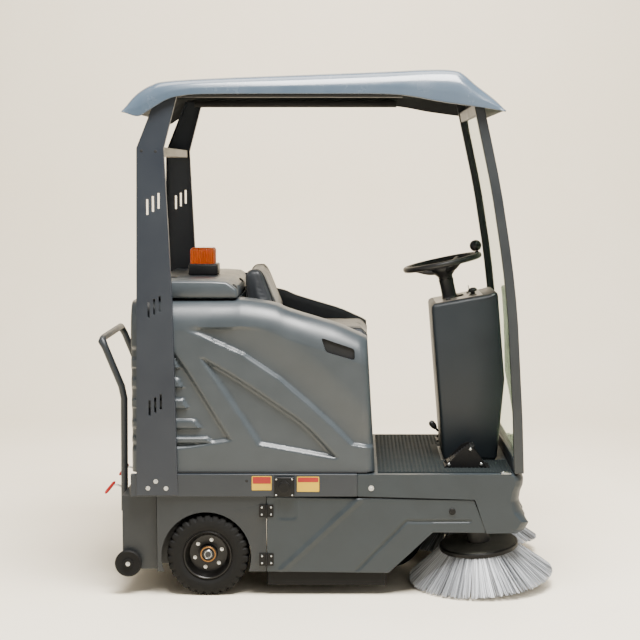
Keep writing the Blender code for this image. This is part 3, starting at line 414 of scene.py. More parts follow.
def make_materials():
    """Every finish on the machine, by name."""
    made = {
        # Rotomoulded polyethylene: even matt grey, fine orange-peel grain of about 1.5 mm, slow tone drift.
        "rotomoulded_grey": surface("rotomoulded polyethylene, grey", "#31373b", "#363c40", 0.36, 1.6,
                                    0.00012, IOR=1.51),
        "rotomoulded_slate": surface("rotomoulded polyethylene, slate", "#151c21", "#1a2126", 0.48, 1.6,
                                     0.00012, IOR=1.51),
        # The same sheet on the doors and the nose, painted darker as the shade low on the body, and duller
        # where hands and brushes rub it.
        "body_grey_shaded": surface("rotomoulded polyethylene, grey with painted shade", "#22292d", "#272e32", 0.48, 1.6, 0.00012,
                             Specular_IOR_Level=0.42),
        # The inner side of the roof's sheet: painted dark as the shade under the roof, dull and marked by the
        # mould.
        "roof_underside_shade": surface("vacuum-formed ABS, inner side with painted shade", "#1d1f20", "#262829", 0.62, 4.0, 0.0002),
        # Powder coat on sheet steel: slightly pebbled, with a soft sheen.
        "powder_blue": surface("powder coat, blue grey", "#1a2029", "#1f252d", 0.46, 1.1, 0.00008, 200, 0.02),
        "powder_grey": surface("powder coat, grey", "#272c30", "#2c3034", 0.42, 1.1, 0.00008, 200, 0.02),
        "powder_rail": surface("powder coat, rail grey", "#1c2228", "#21262c", 0.46, 1.1, 0.00008, 200, 0.02),
        "powder_dark": surface("powder coat, dark grey", "#202427", "#25292b", 0.40, 1.1, 0.00008, 200),
        # The bin grey is painted darker than the other coats, as the shade low on the bin and wheel panels.
        "powder_bin_shaded": surface("powder coat, bin grey with painted shade", "#1c2124", "#212528", 0.50, 1.1, 0.00008, 160, 0.03,
                              Specular_IOR_Level=0.4),
        # Vacuum-formed acrylic-capped ABS: glossy, almost no grain, reflects the light above it.
        "roof_abs": surface("vacuum-formed gloss ABS, blue grey", "#3d4a57", "#44505c", 0.24, 3.0, 0.00003,
                            Coat_Weight=0.35, Coat_Roughness=0.12),
        # Chassis paint: nearly black, dull and dusty low down, so the underside reads as shade.
        "chassis": surface("chassis paint, black grey", "#0f1113", "#151719", 0.55, 1.5, 0.00010, 90, 0.04),
        # Baked enamel on the rims: smooth and black, with one soft highlight.
        "enamel": surface("baked enamel, black", "#030303", "#060606", 0.34, 2.0, 0.00004, 60, 0.01,
                          Specular_IOR_Level=0.3),
        # Black oxide on small steel parts: matt, with next to no reflection.
        "oxide": surface("black oxide steel", "#050505", "#080808", 0.52, 1.5, 0.00006, 60,
                         Specular_IOR_Level=0.25),
        # Moulded ABS on knobs and trims: black with a fine even grain.
        "abs_black": surface("moulded ABS, black", "#121213", "#181819", 0.42, 1.2, 0.00010),
        # Sheet rubber: next to no reflection, so the skirts read as flat black.
        "skirt_rubber": surface("sheet rubber, black", "#090908", "#0f0f0e", 0.75, 2.0, 0.00015,
                                Specular_IOR_Level=0.25),
        # Powder coat on the crossbar, painted pale and warm as the sunlight it reflects: the one pale bar
        # between the dark pillars.
        "crossbar_painted_pale": surface("powder coat, pale with painted reflection", "#7d766c", "#857e74", 0.45, 1.1, 0.00008),
        # Polypropylene block that holds the tufts: dull, grey with road dust, and painted lighter as the light
        # on its top.
        "disc_dust_and_light": surface("moulded polypropylene, dusty grey with painted light", "#57574f", "#69685f", 0.6, 1.5, 0.0001, 50),
        # Moulded rubber on seals, treads and piping: dull black, a little dusty.
        "grip_rubber": surface("moulded rubber, black", "#090909", "#0e0e0e", 0.60, 1.5, 0.00015, 60, 0.06),
        # Studded rubber on the deck: grey and quite dull, painted darker as the roof's shade on it.
        "deck_rubber_shaded": surface("ribbed deck rubber, grey with painted shade", "#151b1c", "#1a2021", 0.80, 1.5, 0.00012, 80,
                               Specular_IOR_Level=0.2),
        # Dipped vinyl on the latch grips: bright red with a soft highlight.
        "red_plastic": surface("dipped vinyl, red", "#a80f12", "#bd1518", 0.32, 2.0, 0.00005),
        # Bronze on the hub: a warm metal ring in the black rim.
        "bronze": surface("bronze", "#8a6238", "#9a7145", 0.40, 2.0, 0.00004, 30, Metallic=1.0),
        # Zinc plate on bolts and rods: bright metal, slightly uneven in gloss.
        "zinc": surface("zinc-plated steel", "#b4b6b6", "#c9cbca", 0.30, 1.0, 0.00005, 12, Metallic=1.0),
        # Painted shade inside cups and holes: dark and without highlight, so they read as deep.
        "cavity_shade": surface("shadowed cavity paint", "#0c0d0d", "#101111", 0.80, 2.0, 0.00005),
        # Plain vinyl labels: flat, saturated colour.
        "label_yellow": surface("vinyl label, yellow", "#bf980c", "#c6a012", 0.38, 4.0, 0.00002),
        "label_red": surface("vinyl label, red", "#86100b", "#90160f", 0.38, 4.0, 0.00002),
        # Polycarbonate film on the console: warm grey, smoother than the moulding round it.
        "panel_beige": surface("printed polycarbonate, warm grey", "#6f675e", "#776f66", 0.35, 3.0, 0.00003),
    }
    made["tyre"] = tyre_rubber()
    made["vinyl"] = seat_vinyl()
    made["amber"] = amber_acrylic()
    made["glass"] = tinted_glass()
    made["nylon"] = bristle_nylon("nylon bristle, grey white", "#14171b", "#d2d6dc")
    made["nylon_black"] = bristle_nylon("nylon bristle, black", "#0d0d0e", "#2b2b2c")
    # Sealed floor: warm and pale, almost without reflection.
    made["floor"] = surface("sealed studio floor", "#eae0cb", "#ede4d1", 0.75, 6.0, 0.00005, 900)
    return made


def tyre_rubber():
    """Solid tyre rubber: near black, dusty where the road wears it, with a matt open grain."""
    material, tree, shader, where = blank("solid tyre rubber", IOR=1.52, Specular_IOR_Level=0.22)
    dirt = add(tree, "TexNoise", {"Vector": where, "Scale": 22.0, "Detail": 8.0, "Roughness": 0.65})
    tone = add(tree, "ValToRGB", {"Fac": dirt.outputs["Fac"]})
    tone.color_ramp.elements[0].position, tone.color_ramp.elements[1].position = 0.35, 0.75
    tone.color_ramp.elements[0].color, tone.color_ramp.elements[1].color = linear("#040404"), linear("#0d0d0c")
    tree.links.new(tone.outputs["Color"], shader.inputs["Base Color"])
    gloss = add(tree, "MapRange", {"Value": dirt.outputs["Fac"], "To Min": 0.55, "To Max": 0.9})
    tree.links.new(gloss.outputs["Result"], shader.inputs["Roughness"])
    grain = add(tree, "TexNoise", {"Vector": where, "Scale": 700.0, "Detail": 4.0})
    bump = add(tree, "Bump", {"Height": grain.outputs["Fac"], "Strength": 0.6, "Distance": 0.0004})
    tree.links.new(bump.outputs["Normal"], shader.inputs["Normal"])
    return material


def seat_vinyl():
    """Calendered vinyl: black, with an embossed leather grain of cells about 3 mm across and a soft sheen."""
    material, tree, shader, where = blank("embossed vinyl, black", IOR=1.5, Sheen_Weight=0.15,
                                          Coat_Weight=0.15, Coat_Roughness=0.35)
    cells = add(tree, "TexVoronoi", {"Vector": where, "Scale": 330.0}, feature="DISTANCE_TO_EDGE")
    wear = add(tree, "TexNoise", {"Vector": where, "Scale": 14.0, "Detail": 6.0})
    tone = add(tree, "ValToRGB", {"Fac": wear.outputs["Fac"]})
    tone.color_ramp.elements[0].color, tone.color_ramp.elements[1].color = linear("#1a1d21"), linear("#2a2e33")
    tree.links.new(tone.outputs["Color"], shader.inputs["Base Color"])
    gloss = add(tree, "MapRange", {"Value": wear.outputs["Fac"], "To Min": 0.36, "To Max": 0.55})
    tree.links.new(gloss.outputs["Result"], shader.inputs["Roughness"])
    bump = add(tree, "Bump", {"Height": cells.outputs["Distance"], "Strength": 0.5, "Distance": 0.0008})
    tree.links.new(bump.outputs["Normal"], shader.inputs["Normal"])
    return material


def amber_acrylic():
    """Moulded acrylic lens: clear saturated amber, so light passes some way into it."""
    material, tree, shader, where = blank("moulded acrylic, amber", IOR=1.49, Transmission_Weight=0.35,
                                          Roughness=0.16, Subsurface_Weight=0.2, Subsurface_Scale=0.01)
    depth = add(tree, "TexNoise", {"Vector": where, "Scale": 30.0, "Detail": 2.0})
    tone = add(tree, "ValToRGB", {"Fac": depth.outputs["Fac"]})
    tone.color_ramp.elements[0].color, tone.color_ramp.elements[1].color = linear("#d24a06"), linear("#f5751a")
    tree.links.new(tone.outputs["Color"], shader.inputs["Base Color"])
    return material


def tinted_glass():
    """Laminated glass with a light green tint that shows at its edges."""
    material, tree, shader, where = blank("laminated glass, green tint", IOR=1.5, Transmission_Weight=1.0,
                                          Roughness=0.02)
    film = add(tree, "TexNoise", {"Vector": where, "Scale": 6.0, "Detail": 4.0})
    tone = add(tree, "ValToRGB", {"Fac": film.outputs["Fac"]})
    tone.color_ramp.elements[0].color, tone.color_ramp.elements[1].color = linear("#adc8b2"), linear("#bbd3be")
    tree.links.new(tone.outputs["Color"], shader.inputs["Base Color"])
    return material


def bristle_nylon(name, dark, light):
    """Extruded nylon filament: each strand has its own tone, held in the mesh attribute "tone"."""
    material, tree, shader, _ = blank(name, IOR=1.53, Roughness=0.48)
    strand = add(tree, "Attribute", attribute_name="tone")
    tone = add(tree, "ValToRGB", {"Fac": strand.outputs["Fac"]})
    tone.color_ramp.elements[0].color, tone.color_ramp.elements[1].color = linear(dark), linear(light)
    tree.links.new(tone.outputs["Color"], shader.inputs["Base Color"])
    return material


# ---------------------------------------------------------------- camera, light and floor


def make_stage(paint_floor):
    """A long lens at head height, a pale floor that runs up into a wall, and broad soft lights."""
    camera = bpy.data.objects.new("camera", bpy.data.cameras.new("camera"))
    bpy.context.scene.collection.objects.link(camera)
    camera.location = (0.115, -6.75, 1.673)
    camera.rotation_euler = (radians(90 - 5.25), 0, 0)
    camera.data.lens, camera.data.sensor_width, camera.data.shift_x = 90.6, 36.0, -0.0547
    bpy.context.scene.camera = camera
    bend = np.linspace(0, pi / 2, 24)
    profile = np.concatenate([[[-9.0, -0.0005]],
                              np.stack([4.0 + 1.5 * np.sin(bend), 1.4995 - 1.5 * np.cos(bend)], -1),
                              [[5.5, 7.0]]])
    across = np.linspace(-9, 9, 4)
    points = np.stack([np.broadcast_to(across[:, None], (4, len(profile))),
                       np.broadcast_to(profile[:, 0], (4, len(profile))),
                       np.broadcast_to(profile[:, 1], (4, len(profile)))], -1)
    mesh = bpy.data.meshes.new("floor")
    floor_points, floor_faces = sheet(points)
    mesh.from_pydata(floor_points.tolist(), [], floor_faces)
    mesh.shade_smooth()
    floor = bpy.data.objects.new("floor", mesh)
    floor.data.materials.append(paint_floor)
    bpy.context.scene.collection.objects.link(floor)
    for name, place, aim, size, power, tint in (
            ("ceiling_light", (0.5, -1.9, 5.4), (0, -0.2, 0.6), 2.6, 1150, (1.0, 0.98, 0.95)),
            ("front_light", (2.2, -6.2, 3.0), (0.1, 0, 0.9), 3.2, 38, (1.0, 0.98, 0.96)),
            ("nose_light", (4.6, -1.2, 2.4), (0.4, 0, 0.9), 2.6, 30, (0.96, 0.98, 1.0)),
            ("wall_light", (0.0, 1.2, 5.6), (0, 4.6, 1.6), 4.0, 450, (1.0, 0.93, 0.86)),
            ("tail_light", (-4.2, -2.0, 2.6), (-0.4, 0, 0.8), 2.6, 28, (1.0, 0.98, 0.95))):
        data = bpy.data.lights.new(name, "AREA")
        data.size, data.energy, data.color = size, power, tint
        light = bpy.data.objects.new(name, data)
        light.location = place
        light.rotation_euler = (Vector(aim) - Vector(place)).to_track_quat("-Z", "Y").to_euler()
        bpy.context.scene.collection.objects.link(light)
    world = bpy.data.worlds.new("studio")
    world.use_nodes = True
    background = world.node_tree.nodes["Background"]
    background.inputs["Color"].default_value = linear("#e9e5df")
    background.inputs["Strength"].default_value = 0.36
    bpy.context.scene.world = world


# ---------------------------------------------------------------- hood

HOOD_REAR, HOOD_FRONT, HOOD_LEAN = -0.768, 0.194, 0.0568
HOOD_HALF, HOOD_LOW, WELL_HALF, WELL_FLOOR = 0.478, 0.493, 0.335, 0.930
CREST = ((-0.768, 1.140), (-0.745, 1.168), (-0.399, 1.173), (-0.318, 1.175), (-0.205, 1.157), (-0.133, 1.129),
         (0.069, 1.068), (0.163, 1.036), (0.194, 1.020))
BAND_EDGE = ((-0.60, 1.062), (-0.493, 1.034), (-0.324, 0.956), (-0.186, 0.862), (-0.076, 0.768),
             (0.034, 0.668), (0.106, 0.598), (0.193, 0.586))
TRIANGLE_ARC = ((-0.485, 0.945), (-0.352, 0.868), (-0.187, 0.756), (-0.087, 0.684), (0.006, 0.589),
                (0.038, 0.551))
TRIANGLE_CORNER = (-0.262, 0.606)
TAIL_FIELD = ((-0.80, 0.985), (-0.612, 0.985), (-0.549, 0.901), (-0.379, 0.622), (-0.546, 0.594),
              (-0.80, 0.585))
LEDGES = (((-0.80, 0.945), (-0.590, 0.945), (-0.572, 0.905), (-0.80, 0.905)),
          ((-0.80, 0.866), (-0.580, 0.866), (-0.560, 0.828), (-0.80, 0.828)),
          ((-0.80, 0.785), (-0.562, 0.785), (-0.540, 0.746), (-0.80, 0.746)),
          ((-0.80, 0.702), (-0.517, 0.702), (-0.490, 0.666), (-0.80, 0.666)),
          ((-0.80, 0.634), (-0.470, 0.634), (-0.440, 0.608), (-0.80, 0.608)))
GRIP = ((-0.018, 1.026), (0.113, 0.981), (0.114, 0.937), (0.001, 0.970))


def hood_relief(x, z):
    """How far the side wall is pressed in at each (x, z).

    Three forms add up: the field above the raised band, deepest at the band's edge and fading upwards; the
    triangle under the band, level inside its outline; and the field at the tail, level too, where each
    ledge comes back out to the wall.
    """
    away = distance_to(BAND_EDGE, x, z)
    above = z > np.interp(x, *np.array(BAND_EDGE).T)
    field = 0.017 * smoothstep(away, 0, 0.013) * (1 - smoothstep(away, 0.016, 0.17)) * above * (x > -0.60)
    fade_rear = smoothstep(x, -0.56, -0.44)
    outline = np.vstack([chain(TRIANGLE_ARC, 5), TRIANGLE_CORNER])
    triangle = 0.016 * smoothstep(inside(outline, x, z), -0.007, 0.011)
    tail = 0.013 * smoothstep(inside(TAIL_FIELD, x, z), -0.006, 0.009)
    for ledge in LEDGES:
        tail *= 1 - smoothstep(inside(ledge, x, z), -0.003, 0.006)
    return field * fade_rear + triangle + tail


def hood_grid(stations, wall_rows):
    """The hood's outer surface: one section from sill to sill at each station along X.

    A section climbs the side wall, pressed in by its relief, turns over the shoulder, crosses the rim and,
    ahead of the hatch, drops into the seat well. Near both ends the half width shrinks along a quarter
    circle of 40 mm.
    """
    corner = 0.040
    ends = np.minimum(stations - HOOD_REAR, HOOD_FRONT - stations)
    width = HOOD_HALF - corner + np.sqrt(np.clip(corner**2 - np.clip(corner - ends, 0, corner)**2, 0, None))
    top = np.interp(stations, *chain(CREST, 8).T)
    share = np.linspace(0, 1, wall_rows)
    wall_z = HOOD_LOW + share[None] * (top[:, None] - 0.115 - HOOD_LOW)
    wall_y = width[:, None] - hood_relief(np.broadcast_to(stations[:, None], wall_z.shape), wall_z)
    turn = chain(((0, -0.115), (0.008, -0.072), (0.030, -0.034), (0.065, -0.008), (0.108, 0)), 4)[1:]
    shoulder_y = width[:, None] - turn[None, :, 0] * ((width - 0.37) / 0.108)[:, None]
    shoulder_z = top[:, None] + turn[None, :, 1]
    rim_y = np.concatenate([np.linspace(0.365, 0.348, 3), np.linspace(0.344, 0.328, 9),
                            np.linspace(0.30, 0.0, 5)])
    dip = 1 - smoothstep(rim_y, 0.331, 0.343)
    well = smoothstep(stations, -0.347, -0.333)
    rim_z = top[:, None] - (well * (top - WELL_FLOOR))[:, None] * dip[None]
    half_y = np.concatenate([wall_y, shoulder_y, np.broadcast_to(rim_y, rim_z.shape)], 1)
    half_z = np.concatenate([wall_z, shoulder_z, rim_z], 1)
    y = np.concatenate([-half_y, half_y[:, -2::-1]], 1)
    z = np.concatenate([half_z, half_z[:, -2::-1]], 1)
    lean = HOOD_LEAN * (z - HOOD_LOW) * smoothstep(stations, 0.02, HOOD_FRONT)[:, None]
    return np.stack([stations[:, None] - lean, y, z], -1)


def make_hood(paint):
    """The tilting hood: a formed skin with its ends closed, the wall added inside and the grips cut
    through."""
    rear = HOOD_REAR + 0.040 * (1 - np.cos(np.linspace(0, pi / 2, 8)))
    front = HOOD_FRONT - 0.040 * (1 - np.cos(np.linspace(pi / 2, 0, 8)))
    middle = np.arange(-0.722, 0.150, 0.0080)
    dense = np.array([-0.3465, -0.3435, -0.340, -0.3365, -0.3335])
    stations = np.unique(np.concatenate([rear, middle, dense, front]))
    grid = hood_grid(stations, 128)
    points, faces = sheet(grid)
    rows, columns = grid.shape[:2]
    faces += [list(range(columns))[::-1], list(range((rows - 1) * columns, rows * columns))]
    hood = piece("hood_skin", (points, faces), paint["rotomoulded_grey"], "hood", 32)
    thicken(hood, 0.0045)
    tray = rounded_block((-0.655, -0.325, 1.120), (-0.400, 0.325, 1.30), 0.012)
    grip = rounded_loop(GRIP, 0.012)
    carve(hood, [tray, slab(grip, -0.30, -0.60), slab(grip, 0.30, 0.60)])
    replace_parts(hood, "hood_shell")
    floor = rounded_block((-0.654, -0.324, 1.1155), (-0.401, 0.324, 1.1195), 0.0018, 2)
    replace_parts(piece("hood_tray", floor, paint["rotomoulded_slate"], "hood"), "hood_shell")
    for side, sign in SIDES:
        # Painted shade: a dark cup lines each grip's recess.
        cup = slab(grip, sign * 0.462, sign * 0.418)
        piece(f"grip_cup_{side}", cup, paint["cavity_shade"], "hood")
        seal = rounded_block((HOOD_REAR + 0.03, sign * 0.476 - 0.004, 0.4895),
                             (HOOD_FRONT - 0.03, sign * 0.476 + 0.004, 0.4945), 0.002, 2)
        piece(f"hood_seal_{side}", seal, paint["grip_rubber"], "hood")


# ---------------------------------------------------------------- roof

ROOF_TOP = ((-0.781, 1.9125), (-0.746, 1.962), (-0.712, 1.993), (-0.670, 2.015), (-0.615, 2.028),
            (-0.398, 2.040), (-0.057, 2.053), (0.219, 2.064), (0.400, 2.073), (0.496, 2.071), (0.535, 2.056),
            (0.583, 2.014), (0.656, 1.956), (0.695, 1.912))
ROOF_EAVE = ((-0.781, 1.905), (-0.720, 1.886), (-0.678, 1.908), (-0.611, 1.948), (-0.559, 1.963),
             (-0.456, 1.971), (-0.057, 1.972), (0.219, 1.971), (0.330, 1.962), (0.433, 1.943), (0.516, 1.931),
             (0.578, 1.923), (0.695, 1.906))


def make_roof(paint):
    """The canopy: between the eave and crown curves, each section follows a chain of shoulder points. A
    dark strip under each eave is painted shade."""
    ends = ROOF_TOP[0][0] + 0.0005, ROOF_TOP[-1][0] - 0.0005
    x = np.unique(np.concatenate([np.linspace(*ends, 130), np.linspace(-0.781 + 0.0005, -0.66, 24)]))
    top = np.interp(x, *chain(ROOF_TOP, 6).T) - 0.0015
    eave = np.interp(x, *chain(ROOF_EAVE, 6).T)
    half = chain(((1.0, 0.0), (0.9965, 0.20), (0.990, 0.42), (0.968, 0.68), (0.925, 0.88), (0.860, 0.965),
                  (0.72, 0.99), (0.40, 0.998), (0.0, 1.0)), 6)
    share = np.concatenate([half[:, 0], -half[-2::-1, 0]])
    rise = np.concatenate([half[:, 1], half[-2::-1, 1]])
    y = np.broadcast_to(share * 0.5295, (len(x), len(share)))
    z = eave[:, None] + rise[None] * (top - eave)[:, None]
    points = np.stack([np.broadcast_to(x[:, None], y.shape), y, z], -1)[:, ::-1]
    roof = piece("roof_canopy", sheet(points), paint["roof_abs"], "root", 45)
    if np.mean([face.normal.z for face in roof.data.polygons]) < 0:
        roof.data.flip_normals()
    # The inner faces take the dark underside colour, as painted shade under the roof.
    thicken(roof, 0.0058, paint["roof_underside_shade"])
    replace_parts(roof, "roof_shell")
    # Painted shade: a dark strip under each eave stands for the shade beneath the roof's edge.
    for side, sign in SIDES:
        rail = rounded_block((-0.600, sign * 0.478 - 0.014, 1.9595), (0.300, sign * 0.478 + 0.014, 1.9865),
                             0.003, 2)
        piece(f"eave_shade_strip_{side}", rail, paint["abs_black"], "root")


# ---------------------------------------------------------------- sheet metal, posts and body panels

DOOR_FACE, POST_SIDE, HINGE_HEIGHTS = 0.4912, 0.475, (0.147, 0.342)


def make_doors(paint):
    """Each door is a pressed sheet: columns run from its lower to its upper edge, and the surface stands
    out along a ridge, drops in along a groove and is set back in the shallow pocket behind it."""
    lower = np.array(((-0.2335, 0.098), (0.248, 0.092), (0.423, 0.255), (0.634, 0.253)))
    upper = np.array(((-0.2335, 0.3985), (0.584, 0.384), (0.634, 0.253)))
    x = np.unique(np.concatenate([np.linspace(-0.2335, 0.632, 150), [0.248, 0.423, 0.584]]))[:, None]
    share = np.linspace(0, 1, 64)[None]
    low, high = np.interp(x, *lower.T), np.interp(x, *upper.T)
    z = low + share * (high - low)
    x = np.broadcast_to(x, z.shape)
    ridge = distance_to(((-0.174, 0.104), (0.131, 0.386)), x, z)
    groove = distance_to(((0.123, 0.102), (0.32, 0.301), (0.353, 0.299), (0.567, 0.300)), x, z)
    pocket = inside(rounded_loop(((-0.192, 0.304), (-0.112, 0.304), (-0.112, 0.430), (-0.192, 0.430)), 0.02),
                    x, z)
    out = DOOR_FACE + 0.0072 * (1 - np.clip(ridge / 0.017, 0, 1))
    out = out - 0.0045 * (1 - smoothstep(groove, 0.002, 0.008)) - 0.0030 * smoothstep(pocket, 0, 0.008)
    for side, sign in SIDES:
        # The door skin takes the body grey with painted shade.
        door = piece(f"door_skin_{side}", sheet(np.stack([x, sign * out, z], -1)), paint["body_grey_shaded"],
                     f"door_{side}", 40)
        if door.data.polygons[0].normal.y * sign < 0:
            door.data.flip_normals()
        thicken(door, 0.0045)
        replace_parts(door, f"door_{side}")
        make_hinges(paint, side, sign)
        lock = merged(lathe([(0, 0), (0.013, 0), (0.013, 0.003), (0.0115, 0.0045), (0, 0.0045)], 28),
                      rounded_block((-0.0015, -0.006, 0.003), (0.0015, 0.006, 0.0052), 0.0006, 1))
        piece(f"door_lock_{side}", moved(lock, facing((0, sign, 0), (0.499, sign * DOOR_FACE, 0.339))),
              paint["oxide"], f"door_{side}")


def screw(radius, height, point, direction):
    """A pan-head screw, standing on a point."""
    turn = np.linspace(0, pi / 2, 5)
    dome = [(radius * cos(a), height * (0.35 + 0.65 * sin(a))) for a in turn[:-1]]
    head = lathe([(0, 0), (radius, 0)] + dome + [(0, height)], 16)
    return moved(head, facing(direction, point))


def hex_bolt(radius, height, point, direction, washer=1.0):
    """A hexagon head over a washer, standing on a point."""
    head = lathe([(0, 0), (radius, 0), (radius, height * 0.85), (radius * 0.86, height), (0, height)], 6)
    wide = radius * 1.75 * washer
    plate = lathe([(0, 0), (wide, 0), (wide, height * 0.3), (0, height * 0.3)], 24)
    return merged(moved(head, facing(direction, point)), moved(plate, facing(direction, point)))


def make_hinges(paint, side, sign):
    """Butt hinges: a leaf on the door and one on the frame, each with two screws, and the barrel between
    them."""
    out = (0, sign, 0)
    barrel = lathe([(0, -0.0252), (0.0046, -0.0252), (0.0050, -0.0246), (0.0050, 0.0246), (0.0046, 0.0252),
                    (0, 0.0252)], 20)
    leaves, screws, plates, fixed = [], [], [], []
    for middle in HINGE_HEIGHTS:
        low, high = middle - 0.025, middle + 0.025
        leaf = rounded_outline((-0.2305, low), (-0.2065, high), 0.003, 3)
        leaves.append(slab(leaf, *(sign * y for y in (0.4905, 0.4942, 0.4948))))
        leaf = rounded_outline((-0.2635, low), (-0.2395, high), 0.003, 3)
        plates.append(slab(leaf, *(sign * y for y in (0.4905, 0.4955, 0.4962))))
        plates.append(moved(barrel, Matrix.Translation((-0.235, sign * 0.4955, middle))))
        for rise in (-0.014, 0.014):
            screws.append(screw(0.0038, 0.0018, (-0.2165, sign * 0.4945, middle + rise), out))
            fixed.append(screw(0.0038, 0.0018, (-0.2525, sign * 0.4958, middle + rise), out))
    piece(f"hinge_leaf_{side}", merged(*leaves), paint["oxide"], f"door_{side}")
    piece(f"hinge_screws_{side}", merged(*screws), paint["zinc"], f"door_{side}")
    piece(f"fixed_leaf_{side}", merged(*plates), paint["oxide"], "root")
    piece(f"fixed_screws_{side}", merged(*fixed), paint["zinc"], "root")


NOSE_PROFILE = ((0.1242, 0.4003), (0.588, 0.3865), (0.640, 0.2505), (0.765, 0.2235), (0.800, 0.243),
                (0.8165, 0.279), (0.781, 0.335), (0.770, 0.377), (0.776, 0.412), (0.786, 0.437),
                (0.787, 0.462), (0.778, 0.481), (0.757, 0.487), (0.1242, 0.487))


def make_front_body(paint):
    """The nose and deck in one moulding: a profile carried across in Y. Towards each side the front of the
    profile falls back along a quarter ellipse, so the nose is round in plan, and its lower edge lifts in
    proportion. The bay and two brush arches are cut out."""
    profile = rounded_loop(NOSE_PROFILE, 0.006)
    half, turn_width, fall_back = 0.4948, 0.105, 0.052
    straight = half - turn_width
    y = np.concatenate([-np.linspace(half, straight, 14), np.linspace(straight, -straight, 12)[::-1][1:-1],
                        np.linspace(straight, half, 14)])
    over = np.clip((np.abs(y) - straight) / turn_width, 0, 0.985)
    back = fall_back * (1 - np.sqrt(1 - over**2))
    front = smoothstep(profile[:, 0], 0.60, 0.77)
    x = profile[None, :, 0] - back[:, None] * front[None]
    toe = smoothstep(profile[:, 0], 0.63, 0.73) * (1 - smoothstep(profile[:, 1], 0.250, 0.320))
    z = profile[None, :, 1] + 0.028 * over[:, None] * toe[None]
    points = np.stack([x, np.broadcast_to(y[:, None], x.shape), z], -1)
    # The nose takes the body grey, painted darker as the shade low on the body.
    body = piece("front_moulding", skin(points), paint["body_grey_shaded"], "root", 35)
    bay = rounded_block((0.05, -0.465, 0.10), (0.7345, 0.465, 0.455), 0.010, 3)
    arches = [rounded_block((0.690, low, 0.10), (0.86, high, 0.315), 0.020, 4)
              for low, high in ((-0.455, -0.12), (0.12, 0.455))]
    carve(body, [bay, *arches])
    round_edges(body, 0.004, 2)
    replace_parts(body, "front_body")


def make_frame_parts(paint):
    """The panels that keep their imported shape, each with rounded edges and its own finish, and among them
    the nose and the crossbar, a closed tube."""
    for side, _ in SIDES:
        refined(f"side_rail_{side}", paint["powder_rail"], "root", 0.003)
        refined(f"wheel_panel_{side}", paint["powder_bin_shaded"], "root", 0.0015)
        refined(f"pillar_{side}", paint["powder_blue"], "root", 0.0012)
        refined(f"post_{side}", paint["powder_dark"], "root", 0.004)
        refined(f"wheel_bracket_{side}", paint["chassis"], "root", 0.002)
        refined(f"brush_arm_{side}", paint["chassis"], f"brush_arm_{side}", 0.002)
        refined(f"side_skirt_{side}", paint["skirt_rubber"], "root", 0.001)
    make_front_body(paint)
    bar_low, bar_high = (np.array(corner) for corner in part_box("pillar_crossbar"))
    bar = piece("crossbar_tube", rounded_block(bar_low + 0.0002, bar_high - 0.0002, 0.003, 2),
                # The crossbar takes the pale colour of its painted reflection.
                paint["crossbar_painted_pale"], "root")
    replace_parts(bar, "pillar_crossbar")
    for node, finish, body, slot, bevel in (
            ("windshield_header", "abs_black", "root", "steel", 0.004),
            ("windshield_sill", "rotomoulded_slate", "root", "steel", 0.004),
            ("windshield_glass", "glass", "root", "glass", 0.0),
            ("steering_console", "rotomoulded_slate", "root", "moulded_dark", 0.0),
            ("top_hatch", "rotomoulded_grey", "hatch", "moulded_grey", 0.004),
            ("beacon_base", "abs_black", "hatch", "black_plastic", 0.0),
            ("charging_socket", "oxide", "root", "black_plastic", 0.002),
            ("charging_flap", "oxide", "flap", "black_plastic", 0.0015),
            ("dust_bin", "powder_bin_shaded", "bin", "painted_sheet", 0.003),
            ("bin_handle", "powder_grey", "bin", "steel", 0.0),
            ("battery_pack", "abs_black", "root", "battery_case", 0.0),
            ("suction_fan", "abs_black", "root", "black_plastic", 0.001),
            ("broom_housing", "chassis", "root", "frame_steel", 0.002),
            ("broom_arms", "chassis", "broom_arms", "frame_steel", 0.001),
            ("floor_frame", "chassis", "root", "frame_steel", 0.003),
            ("front_fork", "chassis", "fork", "frame_steel", 0.002),
            ("seat_rails", "chassis", "hood", "frame_steel", 0.001),
            ("accelerator_pedal", "oxide", "accelerator", "black_plastic", 0.0),
            ("brake_pedal", "oxide", "brake", "black_plastic", 0.0),
            ("stop_button", "abs_black", "stop_button", "black_plastic", 0.0012),
            ("key_switch", "zinc", "key", "chrome", 0.0006),
            ("broom_lever", "abs_black", "lever", "black_plastic", 0.001)):
        refined(node, paint[finish], body, bevel)


